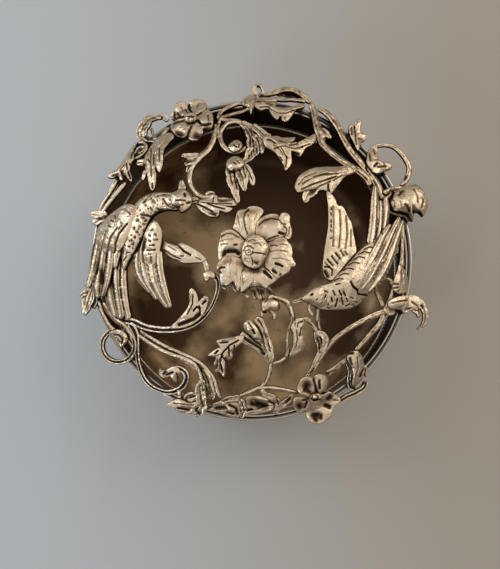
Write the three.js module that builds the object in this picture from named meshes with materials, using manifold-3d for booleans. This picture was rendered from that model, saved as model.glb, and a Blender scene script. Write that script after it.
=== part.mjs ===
// A round potpourri box: a plain spun cup with a lift-off lid, whose domed top is an openwork of
// separately cast birds, flowers, leaves and scrolls, soldered to each other and to an edge wire.
// Millimetres, +Z up. The origin is the centre of the cup's flat underside, on the table.
import * as THREE from "three";
import { mergeVertices } from "three/addons/utils/BufferGeometryUtils.js";
import Module from "manifold-3d";

const wasm = await Module();
wasm.setup();

// Driving dimensions of the cup
const CUP_HEIGHT = 26.6; // table to the top of the spun wall
const MOUTH_WIRE_HEIGHT = 1.4; // the flat wire soldered on the wall's top edge
const WALL = 0.5;
const FLOOR = 0.9;
const FLOOR_FILLET = 4; // inside corner of wall and floor
const BASE_CORNER = 2; // outside corner of wall and floor
const FOOT_WIRE_WIDTH = 0.9;
const FOOT_WIRE_HEIGHT = 1.8;

// Driving dimensions of the lid
const RIM_RADIUS = 39.75; // outside of the edge wire and of the mouth wire
const EDGE_WIRE_WIDTH = 0.9;
const EDGE_WIRE_HEIGHT = 1.2;
const COLLAR_DEPTH = 8.9; // how far the collar hangs into the cup
const COLLAR_WALL = 0.4;
const COLLAR_BEAD = 0.25; // how far the rolled bead along the collar's lower edge stands in
const COLLAR_BEAD_HEIGHT = 0.5;
const DOME_RISE = 8.5; // the openwork's middle over its edge

// Clearances
const SLIDING_CLEARANCE = 0.3; // collar in the cup, all round
const SEAT_CLEARANCE = 0.1; // lid on the mouth wire
const SOLDER_GAP = 0.35; // between castings that are soldered together

// The openwork is set out on a drawing of this radius, as an eye at this height over the rim, and
// this far towards the front, sees it. One unit of the drawing is a millimetre in the rim's plane.
const DRAWING_RADIUS = 39.75;
const EYE_HEIGHT = 123;
const EYE_FORWARD = 26.7;

// Sizes that follow from them
const CUP_BORE = RIM_RADIUS - EDGE_WIRE_WIDTH;
const CUP_RADIUS = CUP_BORE + WALL;
const MOUTH_HEIGHT = CUP_HEIGHT + MOUTH_WIRE_HEIGHT;
const COLLAR_RADIUS = CUP_BORE - SLIDING_CLEARANCE;
const LID_SEAT = MOUTH_HEIGHT + SEAT_CLEARANCE;
const LID_TOP = LID_SEAT + EDGE_WIRE_HEIGHT;
const DRAWING_SCALE = RIM_RADIUS / DRAWING_RADIUS;
const STEM_HALF_THICKNESS = 0.55;
const DOME_FOOT = LID_TOP + SOLDER_GAP + STEM_HALF_THICKNESS; // middle of a stem where it meets the wire
const DOME_SLOPE = (2 * DOME_RISE) / RIM_RADIUS ** 2; // the dome's fall per millimetre, per millimetre out
const TURNS = 48; // facets round the cup and the rings
const CORNER_STEPS = 4;
const EASE_SHARE = 0.3; // of a flat wire's lesser side, taken off its upper corners
const THINNEST = 0.5; // share of its thickness that a strand keeps where it narrows to nothing
const SHEET_STEPS = 2; // points of a sheet's edge for each corner of its outline
const SHEET_DETAIL = 0.06; // bends of a sheet's edge that are smaller than this are left out
const CROWN_SHARE = 0.72; // size of a sheet's flat crown, as a share of the sheet
const SIGHT_ROUNDS = 8; // rounds that settle where a line of sight meets the dome
const WELD = 0.002; // points closer than this are one

const silver = new THREE.MeshStandardMaterial({ color: 0xd9c8ab, roughness: 0.38, metalness: 0.9 });
const polished = new THREE.MeshStandardMaterial({ color: 0xe4dccb, roughness: 0.15, metalness: 1 });
const gilt = new THREE.MeshStandardMaterial({ color: 0x8f7550, roughness: 0.45, metalness: 0.8 });

const box = new THREE.Group();
const lid = new THREE.Group();

function addMesh(group, name, geometry, material) {
  const mesh = new THREE.Mesh(geometry, material.clone());
  mesh.name = name;
  group.add(mesh);
}

// A turned ring or cup from its outline in (radius, height), listed with the metal on the left.
function turned(outline) {
  const points = outline.map(([r, z]) => new THREE.Vector2(r, z));
  if (outline[0][0] > 0) points.push(points[0].clone());
  return new THREE.LatheGeometry(points, TURNS).rotateX(Math.PI / 2);
}

function arc(cx, cy, radius, from, to) {
  return Array.from({ length: CORNER_STEPS + 1 }, (_, i) => {
    const a = THREE.MathUtils.degToRad(from + ((to - from) * i) / CORNER_STEPS);
    return [cx + radius * Math.cos(a), cy + radius * Math.sin(a)];
  });
}

// A flat ring with its two upper corners eased
function wireRing(inner, outer, low, high) {
  const ease = EASE_SHARE * Math.min(outer - inner, high - low);
  return turned([
    [inner, low],
    [outer, low],
    [outer, high - ease],
    [outer - ease, high],
    [inner + ease, high],
    [inner, high - ease],
  ]);
}

// The cup, spun from one sheet
addMesh(
  box,
  "spun_cup",
  turned([
    [0, 0],
    ...arc(CUP_RADIUS - BASE_CORNER, BASE_CORNER, BASE_CORNER, -90, 0),
    [CUP_RADIUS, CUP_HEIGHT],
    [CUP_BORE, CUP_HEIGHT],
    ...arc(CUP_BORE - FLOOR_FILLET, FLOOR + FLOOR_FILLET, FLOOR_FILLET, 0, -90),
    [0, FLOOR],
  ]),
  gilt,
);
addMesh(box, "mouth_wire", wireRing(CUP_BORE, RIM_RADIUS, CUP_HEIGHT, MOUTH_HEIGHT), polished);
const footInside = CUP_RADIUS + SOLDER_GAP;
addMesh(
  box,
  "foot_wire",
  wireRing(footInside, footInside + FOOT_WIRE_WIDTH, 0, FOOT_WIRE_HEIGHT),
  polished,
);

// The lid's frame: a collar that slides into the cup, inside a wire that seats on the mouth
const collarFoot = LID_SEAT - COLLAR_DEPTH;
const collarInside = COLLAR_RADIUS - COLLAR_WALL;
addMesh(
  lid,
  "lid_collar",
  turned([
    [collarInside - COLLAR_BEAD, collarFoot],
    [COLLAR_RADIUS, collarFoot],
    [COLLAR_RADIUS, LID_TOP - SOLDER_GAP],
    [collarInside, LID_TOP - SOLDER_GAP],
    [collarInside, collarFoot + COLLAR_BEAD_HEIGHT + COLLAR_BEAD],
    [collarInside - COLLAR_BEAD, collarFoot + COLLAR_BEAD_HEIGHT],
  ]),
  polished,
);
const edgeWire = wireRing(COLLAR_RADIUS + SOLDER_GAP, RIM_RADIUS, LID_SEAT, LID_TOP);
addMesh(lid, "lid_edge_wire", edgeWire, silver);

// Height of the openwork's middle layer over the table, at a distance from the axis
function domeHeight(radius) {
  const share = Math.min(radius / RIM_RADIUS, 1);
  return DOME_FOOT + DOME_RISE * (1 - share * share);
}

// Takes a point of the drawing, and its lift over the dome, to its place: the line from the eye
// through the drawn point is followed down to that height, in a few rounds.
function onDome(x, y, lift) {
  const eye = new THREE.Vector2(0, -EYE_FORWARD * DRAWING_SCALE);
  const drawn = new THREE.Vector2(x, y).multiplyScalar(DRAWING_SCALE);
  const place = drawn.clone();
  let nearness = 1;
  for (let round = 0; round < SIGHT_ROUNDS; round += 1) {
    const height = domeHeight(place.length()) + lift - LID_SEAT;
    nearness = 1 - height / (EYE_HEIGHT * DRAWING_SCALE);
    place.copy(drawn).sub(eye).multiplyScalar(nearness).add(eye);
  }
  const z = domeHeight(place.length()) + lift;
  return { point: new THREE.Vector3(place.x, place.y, z), scale: DRAWING_SCALE * nearness };
}

// Cross sections, across and up, for a half width and a half thickness of one
const SECTIONS = {
  leaf: [[-1, 0], [0, 1], [1, 0], [0, -1]],
  body: [[-1, -0.1], [-0.6, 0.8], [0.6, 0.8], [1, -0.1], [0, -1]],
  gutter: [[-1, 0.8], [0, 0.25], [1, 0.8], [0, -1]],
  wire: [[-1, 0], [0, 1], [1, 0], [0, -1]],
};
// A hollow section makes room for itself as a full one, so that nothing reaches into its hollow.
const FULL = [[-1, 1], [1, 1], [1, 0.2], [0, -1], [-1, 0.2]];
const ROOMS = { ...SECTIONS, gutter: FULL };

// One strand of a casting: a section carried along a smooth path through the rows, each row being
// x and y in the drawing, the half width there, and any extra lift. A strand thins with its width.
// Grown by the solder gap on every side, the same strand makes room for itself in a neighbour.
function strand({ rows, section, thick, lift = 0 }, grow) {
  const widest = Math.max(...rows.map((row) => row[2]));
  const places = rows.map(([x, y, , extra = 0]) => onDome(x, y, (lift + extra) * DRAWING_SCALE));
  const path = new THREE.CatmullRomCurve3(places.map((place) => place.point), false, "catmullrom");
  const rings = rows.map(([, , width], i) => {
    const middle = places[i].point;
    const along = path.getTangent(i / (rows.length - 1));
    const slope = new THREE.Vector3(middle.x, middle.y, 0).multiplyScalar(DOME_SLOPE);
    const across = along.clone().cross(slope.setZ(1)).normalize();
    const halfWidth = width * places[i].scale + grow;
    const narrowing = THINNEST + ((1 - THINNEST) * width) / widest;
    const halfThickness = thick * narrowing * DRAWING_SCALE + grow;
    return { middle, along, across, up: across.clone().cross(along), halfWidth, halfThickness };
  });
  if (grow > 0) {
    const moved = (ring, by) => ({ ...ring, middle: ring.middle.clone().addScaledVector(ring.along, by) });
    rings.unshift(moved(rings[0], -grow));
    rings.push(moved(rings.at(-1), grow));
  }
  const shape = (grow > 0 ? ROOMS : SECTIONS)[section];
  const corners = rings.flatMap((ring) =>
    shape.map(([u, v]) =>
      ring.middle
        .clone()
        .addScaledVector(ring.across, u * ring.halfWidth)
        .addScaledVector(ring.up, v * ring.halfThickness),
    ),
  );
  const n = shape.length;
  const faces = [];
  for (let i = 0; i < rings.length - 1; i += 1) {
    for (let k = 0; k < n; k += 1) {
      const a = i * n + k;
      const b = i * n + ((k + 1) % n);
      faces.push(a, b, a + n, b, b + n, a + n);
    }
  }
  const last = (rings.length - 1) * n;
  for (let k = 1; k < n - 1; k += 1) faces.push(0, k + 1, k, last, last + k, last + k + 1);
  return new wasm.Manifold(
    new wasm.Mesh({
      numProp: 3,
      vertProperties: new Float32Array(corners.flatMap((corner) => corner.toArray())),
      triVerts: new Uint32Array(faces),
    }),
  );
}

// One sheet of a casting, from the corners of its outline in the drawing. The outline is smoothed
// and raised into a slab, whose upper half narrows to a flat crown, and set point by point on the
// dome. Grown by the solder gap, the same sheet makes room for itself with upright sides.
function sheet({ outline, thick, lift, crown }, grow) {
  const spare = grow / DRAWING_SCALE;
  const crownShare = grow > 0 ? 1 : CROWN_SHARE;
  const corners = outline.map(([x, y]) => new THREE.Vector3(x, y, 0));
  const middle = new THREE.Box3().setFromPoints(corners).getCenter(new THREE.Vector3());
  const edge = new THREE.CatmullRomCurve3(corners, true, "catmullrom")
    .getPoints(outline.length * SHEET_STEPS)
    .map((point) => point.sub(middle).toArray().slice(0, 2));
  const flat = new wasm.CrossSection([edge], "NonZero").offset(spare, "Miter").simplify(SHEET_DETAIL);
  const below = flat.extrude(thick + spare).translate([0, 0, -thick - spare]);
  const above = flat.extrude(thick + crown + spare, 0, 0, [crownShare, crownShare]);
  return below.add(above).warp((vertex) => {
    const [x, y, z] = vertex;
    const { point } = onDome(x + middle.x, y + middle.y, (lift + z) * DRAWING_SCALE);
    [vertex[0], vertex[1], vertex[2]] = point.toArray();
  });
}

// A round boss or berry: a short strand that swells like a ball
function ball(x, y, radius, extra = 0) {
  const profile = [[-1, 0.3], [-0.7, 0.75], [0, 1], [0.7, 0.75], [1, 0.3]];
  return profile.map(([along, width]) => [x + along * radius, y, width * radius, extra]);
}

const castings = [];

// A casting is strands and sheets fused together, all of one kind unless one of them says else.
function cast(name, common, shapes) {
  castings.push({
    name,
    shapes: shapes.map((s) => ({ ...common, ...(Array.isArray(s) ? { rows: s } : s) })),
  });
}

const BIRD = { section: "body", thick: 1.5, lift: 1.3 };
const WING = { section: "leaf", thick: 0.75, lift: 1.9 };
const LEAF = { section: "leaf", thick: 0.6, lift: 0.3 };
const SCROLL = { section: "gutter", thick: STEM_HALF_THICKNESS };
const STEM = { section: "wire", thick: STEM_HALF_THICKNESS };
const SHEET = { thick: 0.6, lift: 1.2, crown: 0.3 };
const BOSS = { section: "body", thick: 1.1, lift: 2.2 };

// The flower on the middle of the dome: a heart of buds in six cupped petals, on a calyx of tips.
cast("flower_heart", { ...SHEET, thick: 0.8, lift: 2.2, crown: 0.9 }, [
  { outline: [[-2.6, 2.2], [-2.4, 4], [-1.2, 5.8], [0.4, 6.8], [2.2, 6.4], [3.4, 5.2], [4.2, 4],
    [4.1, 2.4], [3.2, 0.4], [2.4, -1], [1, -1.8], [-0.6, -1.5], [-2, -0.6], [-2.6, 0.8]] },
]);
cast("flower_petal_front", { ...SHEET, lift: 1.1, crown: 0.5 }, [
  { outline: [[-2.2, -1.4], [-2.8, -3], [-3.1, -5], [-3, -7], [-2.6, -7.6], [-1.4, -7], [-0.4, -6.3],
    [1, -6.2], [2.4, -6.2], [3.6, -6.8], [4.4, -6], [5.6, -5.2], [6.4, -4.4], [5.6, -3.6],
    [4.4, -2.4], [2.8, -1.4], [1, -1.2], [-0.6, -1.2]] },
]);
cast("flower_petal_right", { ...SHEET, lift: 1.3, crown: 0.4 }, [
  { outline: [[3.4, 4.4], [5, 5.4], [6.8, 6.1], [8.4, 6], [9, 5], [9.8, 4], [10.2, 2.4], [10.1, 1],
    [11, -0.6], [10.8, -1.2], [9.8, -1.6], [9.4, -2.6], [8.2, -3.3], [7.2, -3.8], [6.4, -4.4],
    [5.2, -3.4], [4.2, -2.2], [3, -1], [3, 1], [3.4, 3]] },
]);
cast("flower_petal_back_right", { ...SHEET, lift: 1.5, crown: 0.5 }, [
  { outline: [[0.8, 7.6], [1.2, 9.8], [2.6, 11.2], [4.4, 11.9], [6.2, 11.9], [6.9, 11.3], [7.4, 12.1],
    [8.6, 12.2], [9.5, 11.4], [9.6, 9.6], [10, 8], [9.9, 6.2], [9.1, 5.4], [8, 6], [6.3, 5.8],
    [4.3, 5], [3, 5.4], [1.4, 6]] },
]);
cast("flower_petal_back", { ...SHEET, lift: 1.1, crown: 0.4 }, [
  { outline: [[-1.9, 5.6], [-3.4, 7.2], [-4.8, 8.2], [-4.3, 10.2], [-3.9, 12], [-3.2, 12.9],
    [-1.6, 13.2], [-0.6, 13.8], [1, 13.9], [2.2, 13.5], [3, 12.6], [2.6, 11.7], [1.8, 10.4],
    [1.2, 8.4], [1, 6], [-0.4, 5.4]] },
]);
cast("flower_petal_left", { ...SHEET, lift: 1.3, crown: 0.4 }, [
  { outline: [[-2, 5.4], [-3.6, 7.2], [-5.2, 8.1], [-6.8, 7.8], [-7.9, 6.8], [-8.2, 5], [-8.5, 3.6],
    [-8.5, 1.8], [-8.3, -0.2], [-7.4, 0.6], [-5.2, 1.2], [-3, 1], [-2, 2.8], [-1.8, 4.4]] },
]);
cast("flower_petal_front_left", { ...STEM, lift: 0.8 }, [
  { ...SHEET, crown: 0.5, outline: [[-2.4, 0.6], [-5.2, 1.9], [-7.4, 1.2], [-8.6, -0.4], [-8.9, -1.8],
    [-8.4, -2.4], [-8.1, -4], [-7.8, -5.9], [-7, -5.9], [-6, -6], [-5.2, -5.4], [-4.4, -5.8],
    [-3.6, -7.4], [-3.1, -7], [-2.8, -5], [-2.6, -3], [-1.9, -1.4], [-1.8, 0]] },
  [[-7.8, -5.9, 0.3], [-7, -6.5, 0.4], [-6.3, -7, 0.3]],
  [[-5.2, -6, 0.3], [-4.4, -6.9, 0.4], [-3.7, -7.7, 0.3]],
]);
cast("flower_calyx", { ...LEAF, lift: -0.5 }, [
  [[-2.6, -6.2, 0.8], [-0.6, -6.2, 0.9], [1, -5.8, 1], [4.2, -6.2, 0.8]],
  [[0.1, -6.2, 0.7], [0.7, -8, 0.7], [1.1, -9.4, 0.35]],
  [[3.2, -5.8, 0.8], [4.4, -7.6, 0.8], [5.8, -9.1, 0.5]],
  [[1.9, -6, 1.2], [2.3, -8, 1.3], [2.8, -9.6, 0.8]],
  [[-2.6, -6.2, 0.6], [-1.7, -7.8, 0.6], [-0.7, -9, 0.35]],
]);

// The left bird faces the flower, and its wings and tail trail towards the front. Its coverts and
// feathers are castings laid over one another, each cast with its quills and barbs.
cast("left_bird_left_wing", WING, [
  { ...SHEET, thick: 0.5, lift: 2, crown: 0.9, outline: [[-38.4, 8.2], [-37.4, 9.6], [-36, 11.2],
    [-34, 12.8], [-32, 14.1], [-30.2, 14.4], [-28.6, 13.8], [-28, 12.4], [-29, 10.4], [-30, 8],
    [-31.4, 5], [-33.2, 2.6], [-36, 2], [-38.8, 3.4]] },
  [[-37.6, 8, 1.3], [-38.4, 4.6, 1.4], [-39.2, 1, 1.3], [-39.9, -2.5, 1.1], [-41.2, -6.6, 0.8]],
  [[-36, 7, 1.3], [-36.9, 3.5, 1.4], [-37.5, -0.2, 1.3], [-38.2, -4, 1], [-38.8, -7, 0.6]],
  [[-34.4, 6, 1.3], [-35.2, 2.6, 1.3], [-35.6, -1, 1.1], [-36.4, -5, 1], [-37.4, -8.6, 0.7]],
  [[-33, 5, 1.3], [-33.9, 1.6, 1.2], [-34.2, -1.6, 0.5]],
  [[-38, -2.5, 1.2], [-38.6, -6, 1.7], [-38.4, -9, 1]],
]);
cast("left_bird_right_wing", { ...WING, lift: 1.6 }, [
  { ...SHEET, thick: 0.5, lift: 1.6, crown: 0.5, outline: [[-25.4, 9.6], [-24, 10.3], [-22.7, 8.4],
    [-22.4, 6], [-22.9, 3], [-23.2, 0], [-26, -1], [-28.6, 0.6], [-28, 3], [-27.4, 5], [-26.8, 7]] },
  [[-23.4, 3, 1], [-23.3, 0, 1.2], [-22.9, -3, 1.1], [-21.9, -7, 1], [-20.3, -11.4, 0.5]],
  { lift: 1.5, rows: [[-25, 2, 1.2], [-25.2, -0.5, 1.3], [-24.6, -4.5, 1.2], [-23.2, -8, 1],
    [-21, -11.4, 0.5]] },
  { lift: 1.4, rows: [[-26.7, 2, 1.2], [-27, -1.5, 1.3], [-26.2, -5, 1.1], [-23.6, -9.4, 0.5]] },
  { lift: 1.3, rows: [[-28.3, 2.6, 1.1], [-28.6, -1, 1.2], [-27.8, -4, 1.1], [-25.4, -7.6, 0.45]] },
]);
cast("left_bird_body", { ...BIRD, thick: 1.4 }, [
  [[-16.6, 14.9, 2], [-18.6, 15, 2.3], [-21, 15, 2.3], [-24, 14.6, 2.7], [-26.4, 13.2, 3],
    [-28, 10.6, 2.9], [-29, 7.4, 2.6], [-30.2, 4, 2], [-31.2, 1, 1.2], [-31.9, -2, 0.4]],
  { ...SHEET, lift: 1.9, crown: 0.7, outline: [[-20.4, 16.6], [-18.8, 17.7], [-17.6, 18.4],
    [-16.4, 17.8], [-15.2, 16.6], [-14.9, 15], [-15.6, 13.4], [-17, 12.4], [-18, 12.4], [-18.6, 13.6],
    [-20, 14.2]] },
  { ...LEAF, thick: 0.8, lift: 1.5, rows: [[-17.4, 17.4, 1.3], [-17.4, 18.8, 0.9],
    [-17.5, 20.4, 0.35]] },
  { ...LEAF, thick: 0.7, lift: 1.5, rows: [[-16.4, 15.5, 0.9], [-14.6, 15.6, 0.5], [-13.3, 15.6, 0.3]] },
  { ...LEAF, thick: 0.5, lift: 1.2, rows: [[-15.8, 14.6, 0.6], [-14.6, 14.9, 0.4], [-13.6, 15.1, 0.3]] },
]);
cast("left_bird_tail", { ...WING, lift: 0.7 }, [
  [[-35.6, 1, 1.3], [-35.8, -3.5, 1.5], [-35.6, -7.5, 1.5], [-34.9, -11, 1.4], [-34, -13.8, 0.9]],
  { lift: 0.8, rows: [[-33.8, 2, 1.3], [-34, -4.5, 1.4], [-33.5, -9.5, 1.4], [-32.6, -14.2, 1.1]] },
  { lift: 0.6, rows: [[-32, 1, 0.9], [-32.2, -4.5, 1.1], [-31.8, -9.5, 1.1], [-30.7, -14.4, 0.8]] },
]);

// The right bird faces the flower, with one wing raised and one laid back to the right.
cast("right_bird_left_wing", { ...SHEET, lift: 1.8 }, [
  { outline: [[18.6, 17.6], [18.9, 14], [19, 10], [18.7, 7], [18.2, 4], [17.8, 1], [17.6, -1.6],
    [18, -3.6], [19.6, -4.8], [20.8, -3.8], [22.6, -1.6], [24.6, 0.8], [26, 2.4], [25.8, 4.4],
    [25.3, 7], [24.8, 9.6], [23.8, 11.4], [23.3, 12.6], [22.5, 13.9], [21.3, 14.2], [20.4, 16.2]] },
]);
cast("right_bird_right_wing", { ...WING, lift: 1.5 }, [
  { lift: 1.7, rows: [[29.6, 4, 1.3], [30.2, 8, 1.3], [30.5, 12, 1.2], [30.6, 16, 1], [30.7, 19, 0.6]] },
  { lift: 1.6, rows: [[31, 4.4, 1.2], [31.8, 9, 1.1], [32, 13, 0.9], [31.9, 15.4, 0.5]] },
  [[32, 4.4, 1.1], [32.9, 9, 1.1], [33.4, 13, 1], [33.3, 16.4, 0.6]],
  [[32.4, 0.4, 1.1], [33, 2.6, 1.4], [34.4, 6, 1.3], [36, 9.6, 0.9], [36.6, 11.4, 0.45]],
  { lift: 1.4, rows: [[33.4, 0.4, 1.2], [35.4, 4, 1.4], [36.6, 8, 1.1], [37.6, 10.8, 0.5]] },
]);
cast("right_bird_body", { ...LEAF, lift: 1.5, thick: 0.7 }, [
  { ...SHEET, thick: 0.9, crown: 1.2, outline: [[15.4, -6.6], [17.6, -6.4], [19.4, -5.4], [21, -3.6],
    [23, -1.6], [25, 0.8], [27, 3], [29, 4.4], [31, 5.6], [33.4, 5.4], [36, 4.4], [36.4, 2.4],
    [35, 1.2], [34.4, -1.4], [33, -3.8], [31.4, -5.4], [31, -6.8], [29, -8.2], [27.6, -9.6],
    [26, -11], [23.6, -11.9], [20, -12.1], [17.6, -12], [16, -11.4], [14.4, -10.2], [14, -8.4]] },
  { ...SHEET, thick: 0.7, lift: 1.9, crown: 0.7, outline: [[12.4, -9.3], [14, -7.6], [15.6, -6.6],
    [17.4, -6.3], [18.8, -8], [18.4, -11], [16, -11.2], [14.2, -10.3]] },
  [[14, -9, 0.9], [11.9, -9.5, 0.5], [10, -10.1, 0.3]],
  { ...STEM, lift: 1.2, rows: [[15, -9.6, 0.6], [14.2, -11.3, 0.5], [15.2, -13.6, 0.4]] },
  { ...STEM, lift: 0.6, rows: [[16.4, -11, 0.8], [16.3, -12.8, 0.5], [16.2, -14.9, 0.4]] },
]);

// The flowers on the rim: two open ones with a round boss, and a trumpet seen from its side.
cast("top_flower_boss", { ...BOSS, lift: 2 }, [
  ball(-15.2, 35.7, 1.45),
]);
cast("top_flower", { ...SHEET, lift: 0.7, crown: 0.5 }, [
  { outline: [[-16.4, 36.6], [-17.6, 37], [-19, 37.2], [-19.2, 38.4], [-18.6, 39.7], [-17, 39.9],
    [-15.9, 39.2], [-15.4, 40], [-14.2, 40.5], [-12.6, 40.4], [-11.3, 39.4], [-11.4, 38.1],
    [-12.2, 37.4], [-11, 37.9], [-9.9, 36.9], [-9.6, 35.2], [-9.8, 33.8], [-10.6, 32.9], [-12, 33.2],
    [-12.2, 32], [-12.9, 30.8], [-14, 30.2], [-15.6, 30.3], [-16.1, 31.2], [-17.2, 30.9],
    [-18.8, 31.4], [-20, 32.6], [-20.3, 33.8], [-19.4, 34.9], [-20.2, 36], [-19.8, 37.5],
    [-18.4, 36.8]] },
]);
cast("lower_flower_boss", { ...BOSS, lift: 2 }, [
  ball(15.8, -34, 1.5),
]);
cast("lower_flower", { ...SHEET, lift: 0.7, crown: 0.5 }, [
  { outline: [[14.4, -33.6], [12.8, -33.4], [11.4, -32.4], [11.3, -30.8], [12.2, -29.2],
    [13.8, -28.5], [15.2, -29], [15.7, -28.2], [17, -28], [18.4, -28.5], [18.9, -29.8], [18.6, -31.4],
    [17.9, -32.5], [18.8, -32.3], [20, -32.6], [21.2, -33.3], [22.2, -34.2], [21.8, -35.2],
    [20.8, -36], [20.2, -37], [19.9, -38.2], [18.8, -39.4], [17.4, -40.3], [15.8, -40.5],
    [14.4, -39.8], [13.4, -38.2], [13.1, -36.8], [12.6, -37.9], [11.4, -37.6], [10.5, -36.4],
    [10.2, -35], [10.6, -33.8], [12.6, -33.9]] },
]);
cast("trumpet_flower", { ...STEM, lift: 0.6 }, [
  { ...SHEET, thick: 0.9, lift: 0.4, crown: 1.7, outline: [[34.3, 14.4], [34.6, 16], [35.6, 17.4],
    [37, 18.4], [38.6, 19], [40.6, 19.3], [42.2, 18.4], [43.2, 16.6], [43.9, 14.4], [43.6, 12.8],
    [42.8, 11.4], [42, 12.2], [41, 12.4], [40.3, 11.8], [40.2, 10.2], [39.4, 10.6], [38.8, 11.8],
    [37, 12.5], [35.4, 12.6]] },
  [[32.6, 14.6, 0.5], [33.6, 15.8, 0.5], [34.8, 17, 0.5]],
  { lift: 0.8, rows: [[32.8, 17.1, 0.6], [34.6, 18.1, 0.6], [36.4, 18.4, 0.6], [38.2, 18, 0.7]] },
  { thick: 0.5, lift: -0.5, rows: [[35.8, 13.6, 0.4], [34.6, 12.4, 0.35], [36, 11.8, 0.35],
    [38, 11.4, 0.35], [39.2, 10, 0.35]] },
]);

// Leaves and buds of the back left quarter, with the double-edged stem that runs along the rim.
cast("curled_leaf_loop", LEAF, [
  [[-27.2, 30.4, 1], [-27.5, 32, 1.6], [-26.9, 33.6, 1.8], [-25.8, 35.2, 1.5], [-24.2, 36, 1],
    [-22.4, 36.1, 0.8], [-20.8, 35.3, 0.6]],
  [[-27.6, 31.4, 0.6], [-26, 30.6, 0.8], [-24.3, 30.2, 0.7], [-23, 30.6, 0.5]],
  { ...STEM, rows: [[-25.1, 33.4, 0.35], [-24.7, 31.8, 0.4], [-23.9, 30.6, 0.45], [-23, 30.8, 0.45],
    [-21.6, 32.4, 0.5], [-20.4, 33.4, 0.4]] },
]);
cast("long_leaves", { ...LEAF, thick: 0.5 }, [
  { ...SHEET, lift: 1.1, outline: [[-20, 32], [-21.4, 32], [-22.7, 31], [-23.6, 29.4], [-24.2, 27.4],
    [-24.2, 25], [-23.9, 23.2], [-23.1, 22.2], [-22.4, 23.4], [-22.1, 25], [-22, 27], [-21.5, 28.6],
    [-20.6, 29.8], [-19.4, 31]] },
  { ...SHEET, lift: 0.7, outline: [[-23, 31.4], [-24.6, 29.6], [-25.9, 27.6], [-26.8, 26],
    [-26.8, 24], [-26.2, 22], [-25.8, 19.8], [-25.3, 18], [-24.8, 17.6], [-24.2, 18.4], [-23.9, 20.4],
    [-23.8, 22.4], [-24, 24.6], [-24, 27], [-23.4, 29], [-22.4, 30.6]] },
  [[-26.4, 24.6, 1], [-27.7, 24.7, 0.9], [-28.9, 24.7, 0.5]],
  [[-26.2, 23, 0.6], [-26.8, 21.8, 0.6], [-27.2, 20.4, 0.35]],
]);
cast("sepal_bud", STEM, [
  { ...SHEET, lift: 0.7, crown: 0.4, outline: [[-28.4, 29.8], [-29.6, 29], [-30.8, 27.4], [-32, 25.4],
    [-33.2, 23.6], [-34.8, 22.3], [-36, 21.1], [-34.6, 20.9], [-33.4, 21.4], [-32.9, 20.3],
    [-32.2, 20.4], [-31.7, 21.6], [-31, 20.8], [-30, 19.8], [-29.9, 21], [-30.4, 22.8], [-30, 24.6],
    [-29.4, 25.6], [-29.5, 27.4], [-29.2, 28.6]] },
  [[-29.2, 29, 0.4], [-27.8, 29.7, 0.45], [-26.4, 29.2, 0.45], [-26.4, 27.8, 0.4], [-27.8, 26.4, 0.4],
    [-29.4, 25.6, 0.4]],
  { ...LEAF, thick: 0.5, lift: -0.1, rows: [[-26.4, 28.6, 0.7], [-27.6, 27.8, 0.9],
    [-28.6, 26.8, 0.6]] },
]);
cast("left_rim_stem", STEM, [
  [[-33.6, 20.6, 0.5], [-34.6, 18.6, 0.5], [-36, 16.4, 0.5], [-37.4, 14.2, 0.5], [-38.2, 12.4, 0.6]],
  [[-31.4, 20, 0.7], [-33.2, 17.8, 0.65], [-35.2, 15.4, 0.65], [-36.8, 13.4, 0.7], [-37.8, 11.6, 0.8]],
  { ...LEAF, lift: 0, rows: [[-36.2, 11.8, 0.9], [-38, 11.6, 1.2], [-40.3, 12, 0.35]] },
  { ...LEAF, lift: 0, rows: [[-36.8, 10.8, 0.8], [-38.4, 10.1, 1], [-40, 9.7, 0.35]] },
]);
cast("left_rim_leaf", LEAF, [
  [[-39.6, -6.6, 1], [-40.4, -8.6, 1.7], [-41, -10.8, 1.5], [-41.9, -13.4, 0.4]],
  [[-40.8, -7.6, 0.8], [-42, -8, 0.7], [-42.9, -8.8, 0.35]],
  [[-39, -8.6, 1], [-39.2, -10.2, 0.9], [-39.6, -11.8, 0.4]],
]);

// The curved stem runs from the top flower down to the left bird's beak, with leaves on both ends.
cast("beak_leaves", LEAF, [
  [[-14.2, 15.2, 0.5], [-12.9, 14.4, 1.1], [-11.4, 13.2, 1.4], [-10, 12.2, 1.2], [-8.6, 11.5, 0.5]],
  [[-12.2, 15.2, 0.8], [-10.4, 14.3, 1.1], [-8.6, 13.6, 1.1], [-7, 12.8, 0.8], [-5.6, 12.5, 0.35]],
  [[-10.4, 15, 0.5], [-8.4, 14.6, 0.8], [-6.2, 14.2, 0.7], [-4.2, 13.4, 0.4]],
]);
cast("curved_stem", { ...LEAF, lift: 0 }, [
  { ...STEM, rows: [[-9.2, 34.4, 0.6], [-9.3, 32.2, 0.65], [-9.7, 30.2, 0.7], [-11, 27.9, 0.8],
    [-13, 26.1, 0.85], [-14.7, 24.1, 0.75], [-15.5, 21.8, 0.6], [-15.4, 19.6, 0.6],
    [-14.3, 17.5, 0.6], [-12.6, 16.3, 0.65], [-10.4, 15.9, 0.8], [-8, 15.6, 0.6], [-5.6, 15.5, 0.55],
    [-3.6, 15.4, 0.6]] },
  [[-11.6, 16.2, 0.8], [-10.4, 16.8, 0.8], [-9.2, 17, 0.4]],
  [[-13, 26.4, 0.7], [-15, 26.3, 0.9], [-17.7, 26.5, 0.4]],
  [[-14, 25.6, 0.9], [-15.4, 24.8, 1.1], [-16.9, 24.2, 0.4]],
  [[-15, 24.4, 0.6], [-15.7, 23.4, 0.7], [-16.2, 22.2, 0.35]],
]);
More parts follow.
